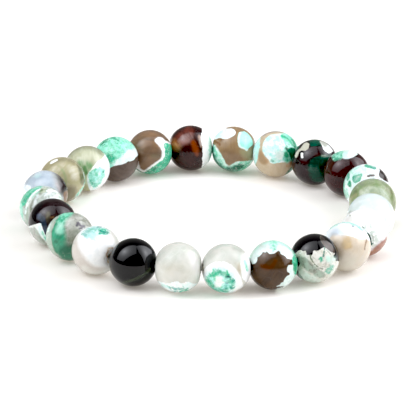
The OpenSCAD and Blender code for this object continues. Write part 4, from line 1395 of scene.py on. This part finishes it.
def make_polish_group():
    """The finish of hand polished stone: roughness that varies slowly, more along the crackle, and the
    height of fine pits and of the crackle's slight grooves."""
    tree, given, result = new_group(
        "hand_polish",
        dict(Vector="Vector", Roughness="Float", Lines="Float"),
        dict(Roughness="Float", Height="Float"))
    haze = noise(tree, given["Vector"], HAZE_NOISE, POLISH_DETAIL)[0]
    pits = noise(tree, given["Vector"], PIT_NOISE, POLISH_DETAIL, Roughness=PIT_ROUGHNESS)[0]
    varied = sums(tree, "MULTIPLY", given["Roughness"], sums(tree, "ADD", 0.5, haze))
    rough = sums(tree, "ADD", varied, sums(tree, "MULTIPLY", given["Lines"], CRACKLE_ROUGHNESS))
    pitted = sums(tree, "MULTIPLY", smooth_rise(tree, pits, *PIT_PLACES), PIT_SHARE)
    height = sums(tree, "SUBTRACT", 1.0, sums(tree, "ADD", pitted, given["Lines"]))
    fill(tree, result, {"Roughness": rough, "Height": height})
    return tree


AGATE = make_agate_group()
EDGE = make_edge_group()
POLISH = make_polish_group()


def group_node(tree, group, values):
    """A node that holds a group, with its inputs filled, and its outputs."""
    return put(tree, "ShaderNodeGroup", values, node_tree=group).outputs


def stone_body(tree, place, recipe):
    """The agate group's outputs, with the values of one kind of stone and two colours."""
    values = dict(zip(STONE_VALUES, KINDS[recipe["kind"]]))
    values.update(Vector=place, Light=light_of(recipe["light"]), Deep=light_of(recipe["deep"]),
                  Crack=light_of(values["Crack"]))
    return group_node(tree, AGATE, values)


def new_material(name):
    """A material, its node tree, its shader and the place on the piece, in m."""
    material = bpy.data.materials.new(name)
    material.use_nodes = True
    tree = material.node_tree
    return material, tree, tree.nodes["Principled BSDF"], put(tree, "ShaderNodeTexCoord").outputs["Object"]


def relief(tree, height, strength, depth):
    """The normal that a height gives, at a strength and with a depth in mm."""
    values = {"Height": height, "Strength": strength, "Distance": depth * MM}
    return put(tree, "ShaderNodeBump", values).outputs["Normal"]


def agate_material(number, recipe):
    """Polished agate: the main stone, then each marking over it through its own mask. The place is in mm,
    turned and shifted by the bead's number, so that no two beads have the same clouds."""
    material, tree, shader, coordinates = new_material(f"agate_{number:02d}")
    turned = {"Vector": coordinates, "Scale": (1 / MM, 1 / MM, 1 / MM),
              "Rotation": [number * turn for turn in STONE_TURN],
              "Location": [number * shift for shift in STONE_SHIFT]}
    place = put(tree, "ShaderNodeMapping", turned).outputs[0]
    body = stone_body(tree, place, recipe)
    colour = body["Color"]
    for name, marking in recipe["markings"].items():
        depth = put(tree, "ShaderNodeAttribute", attribute_name=name).outputs["Fac"]
        mask = group_node(tree, EDGE, {"Distance": depth, "Vector": place, "Ragged": marking["ragged"],
                                       "Blur": marking["blur"], "Share": marking["share"]})["Mask"]
        colour = blend(tree, mask, colour, stone_body(tree, place, marking)["Color"])
    finish = {"Vector": place, "Roughness": POLISH_ROUGHNESS, "Lines": body["Lines"]}
    polish = group_node(tree, POLISH, finish)
    fill(tree, shader, {
        "Base Color": colour, "Roughness": polish["Roughness"], "IOR": STONE_IOR,
        "Normal": relief(tree, polish["Height"], POLISH_BUMP, POLISH_HEIGHT),
        "Subsurface Weight": recipe["glow"], "Subsurface Radius": STONE_DEPTHS,
        "Subsurface Scale": recipe["depth"] * MM})
    return material


def elastic_material():
    """Clear elastic: slightly cloudy, with fine ribs of noise along it."""
    material, tree, shader, coordinates = new_material("clear_elastic")
    ribs = noise(tree, coordinates, RIB_NOISE, RIB_DETAIL)[0]
    fill(tree, shader, {
        "Base Color": blend(tree, ribs, light_of("veil"), light_of("granite")),
        "Normal": relief(tree, ribs, RIB_BUMP, RIB_HEIGHT), "Roughness": ELASTIC_ROUGHNESS,
        "Transmission Weight": ELASTIC_CLEAR, "IOR": ELASTIC_IOR})
    return material


def floor_material():
    """A white acrylic sheet: faintly uneven white, with a little light of its own from below."""
    material, tree, shader, coordinates = new_material("white_acrylic")
    uneven = noise(tree, coordinates, FLOOR_NOISE, FLOOR_DETAIL)[0]
    fill(tree, shader, {
        "Base Color": blend(tree, uneven, *FLOOR_WHITES), "Roughness": FLOOR_ROUGHNESS,
        "Emission Color": FLOOR_GLOW_TINT, "Emission Strength": FLOOR_GLOW})
    return material


def make_floor():
    """A wide white floor under the beads."""
    corners = np.array([[-1.0, -1.0, 0.0], [1.0, -1.0, 0.0], [1.0, 1.0, 0.0], [-1.0, 1.0, 0.0]])
    corners *= FLOOR_REACH
    floor = put_mesh("floor", corners, np.array([[0, 1, 2, 3]]), floor_material(), smooth=False)


def rounded_path(facts):
    """The cord's middle line: straight through each hole, and between two holes the cubic curve that
    leaves one mouth and enters the next along their own directions."""
    share = np.linspace(0, 1, CORD_STEPS)[:-1, None]
    from_here = 2 * share ** 3 - 3 * share ** 2 + 1
    out_of_here = share ** 3 - 2 * share ** 2 + share
    to_next = 3 * share ** 2 - 2 * share ** 3
    into_next = share ** 3 - share ** 2
    rings = []
    for here, after in zip(facts, facts[1:] + facts[:1]):
        middle, line, _, half = here
        next_middle, next_line, _, next_half = after
        entry = middle - half * line
        leaving = middle + half * line
        following = next_middle - next_half * next_line
        span = np.linalg.norm(following - leaving)
        rings.append(entry + (leaving - entry) * share)
        rings.append(from_here * leaving + out_of_here * span * line
                     + to_next * following + into_next * span * next_line)
    return np.concatenate(rings)


def tube_surface(path):
    """A ring of points round every point of a closed level path, square to the path's run there."""
    run = np.roll(path, -1, axis=0) - np.roll(path, 1, axis=0)
    run /= np.linalg.norm(run, axis=1)[:, None]
    side = np.cross(UP, run)
    side /= np.linalg.norm(side, axis=1)[:, None]
    above = np.cross(run, side)
    turn = np.arange(CORD_SIDES) * (2 * math.pi / CORD_SIDES)
    ring = np.cos(turn)[:, None] * side[:, None, :] + np.sin(turn)[:, None] * above[:, None, :]
    return (path[:, None, :] + CORD_R * ring).reshape(-1, 3)


def make_bead(number, recipe, facts, halves):
    """One agate bead with its material and the distances of its markings."""
    name = bead_name(number)
    points, columns = bead_surface(number, name, facts, halves)
    faces = ring_faces(ROUND_POINTS, columns)[:, ::-1]
    piece = put_mesh(f"agate_{name}", points, faces, agate_material(number, recipe))
    chart, px_per_mm = chart_points(points, facts[0], number)
    for marking_name, marking in recipe["markings"].items():
        values = piece.data.attributes.new(marking_name, "FLOAT", "POINT")
        values.data.foreach_set("value", (depth_inside(chart, marking) / px_per_mm).astype(np.float32))
    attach(piece, "root")
    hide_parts(name)


def make_beads():
    """All the beads, and the facts that the elastic needs."""
    facts = [bead_facts(bead_name(number)) for number in range(1, len(BEADS) + 1)]
    for number, (recipe, fact, halves) in enumerate(zip(BEADS, facts, hub_halves(facts)), 1):
        make_bead(number, recipe, fact, halves)
    return facts


def make_elastic(facts):
    """The elastic that runs through all the beads."""
    path = rounded_path(facts)
    faces = ring_faces(len(path), CORD_SIDES)
    cord = put_mesh("elastic_strand", tube_surface(path), faces, elastic_material())
    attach(cord, "root")
    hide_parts("elastic_cord")


set_camera()
for soft_box in SOFT_BOXES:
    set_soft_box(*soft_box)
set_room()
make_floor()
make_elastic(make_beads())
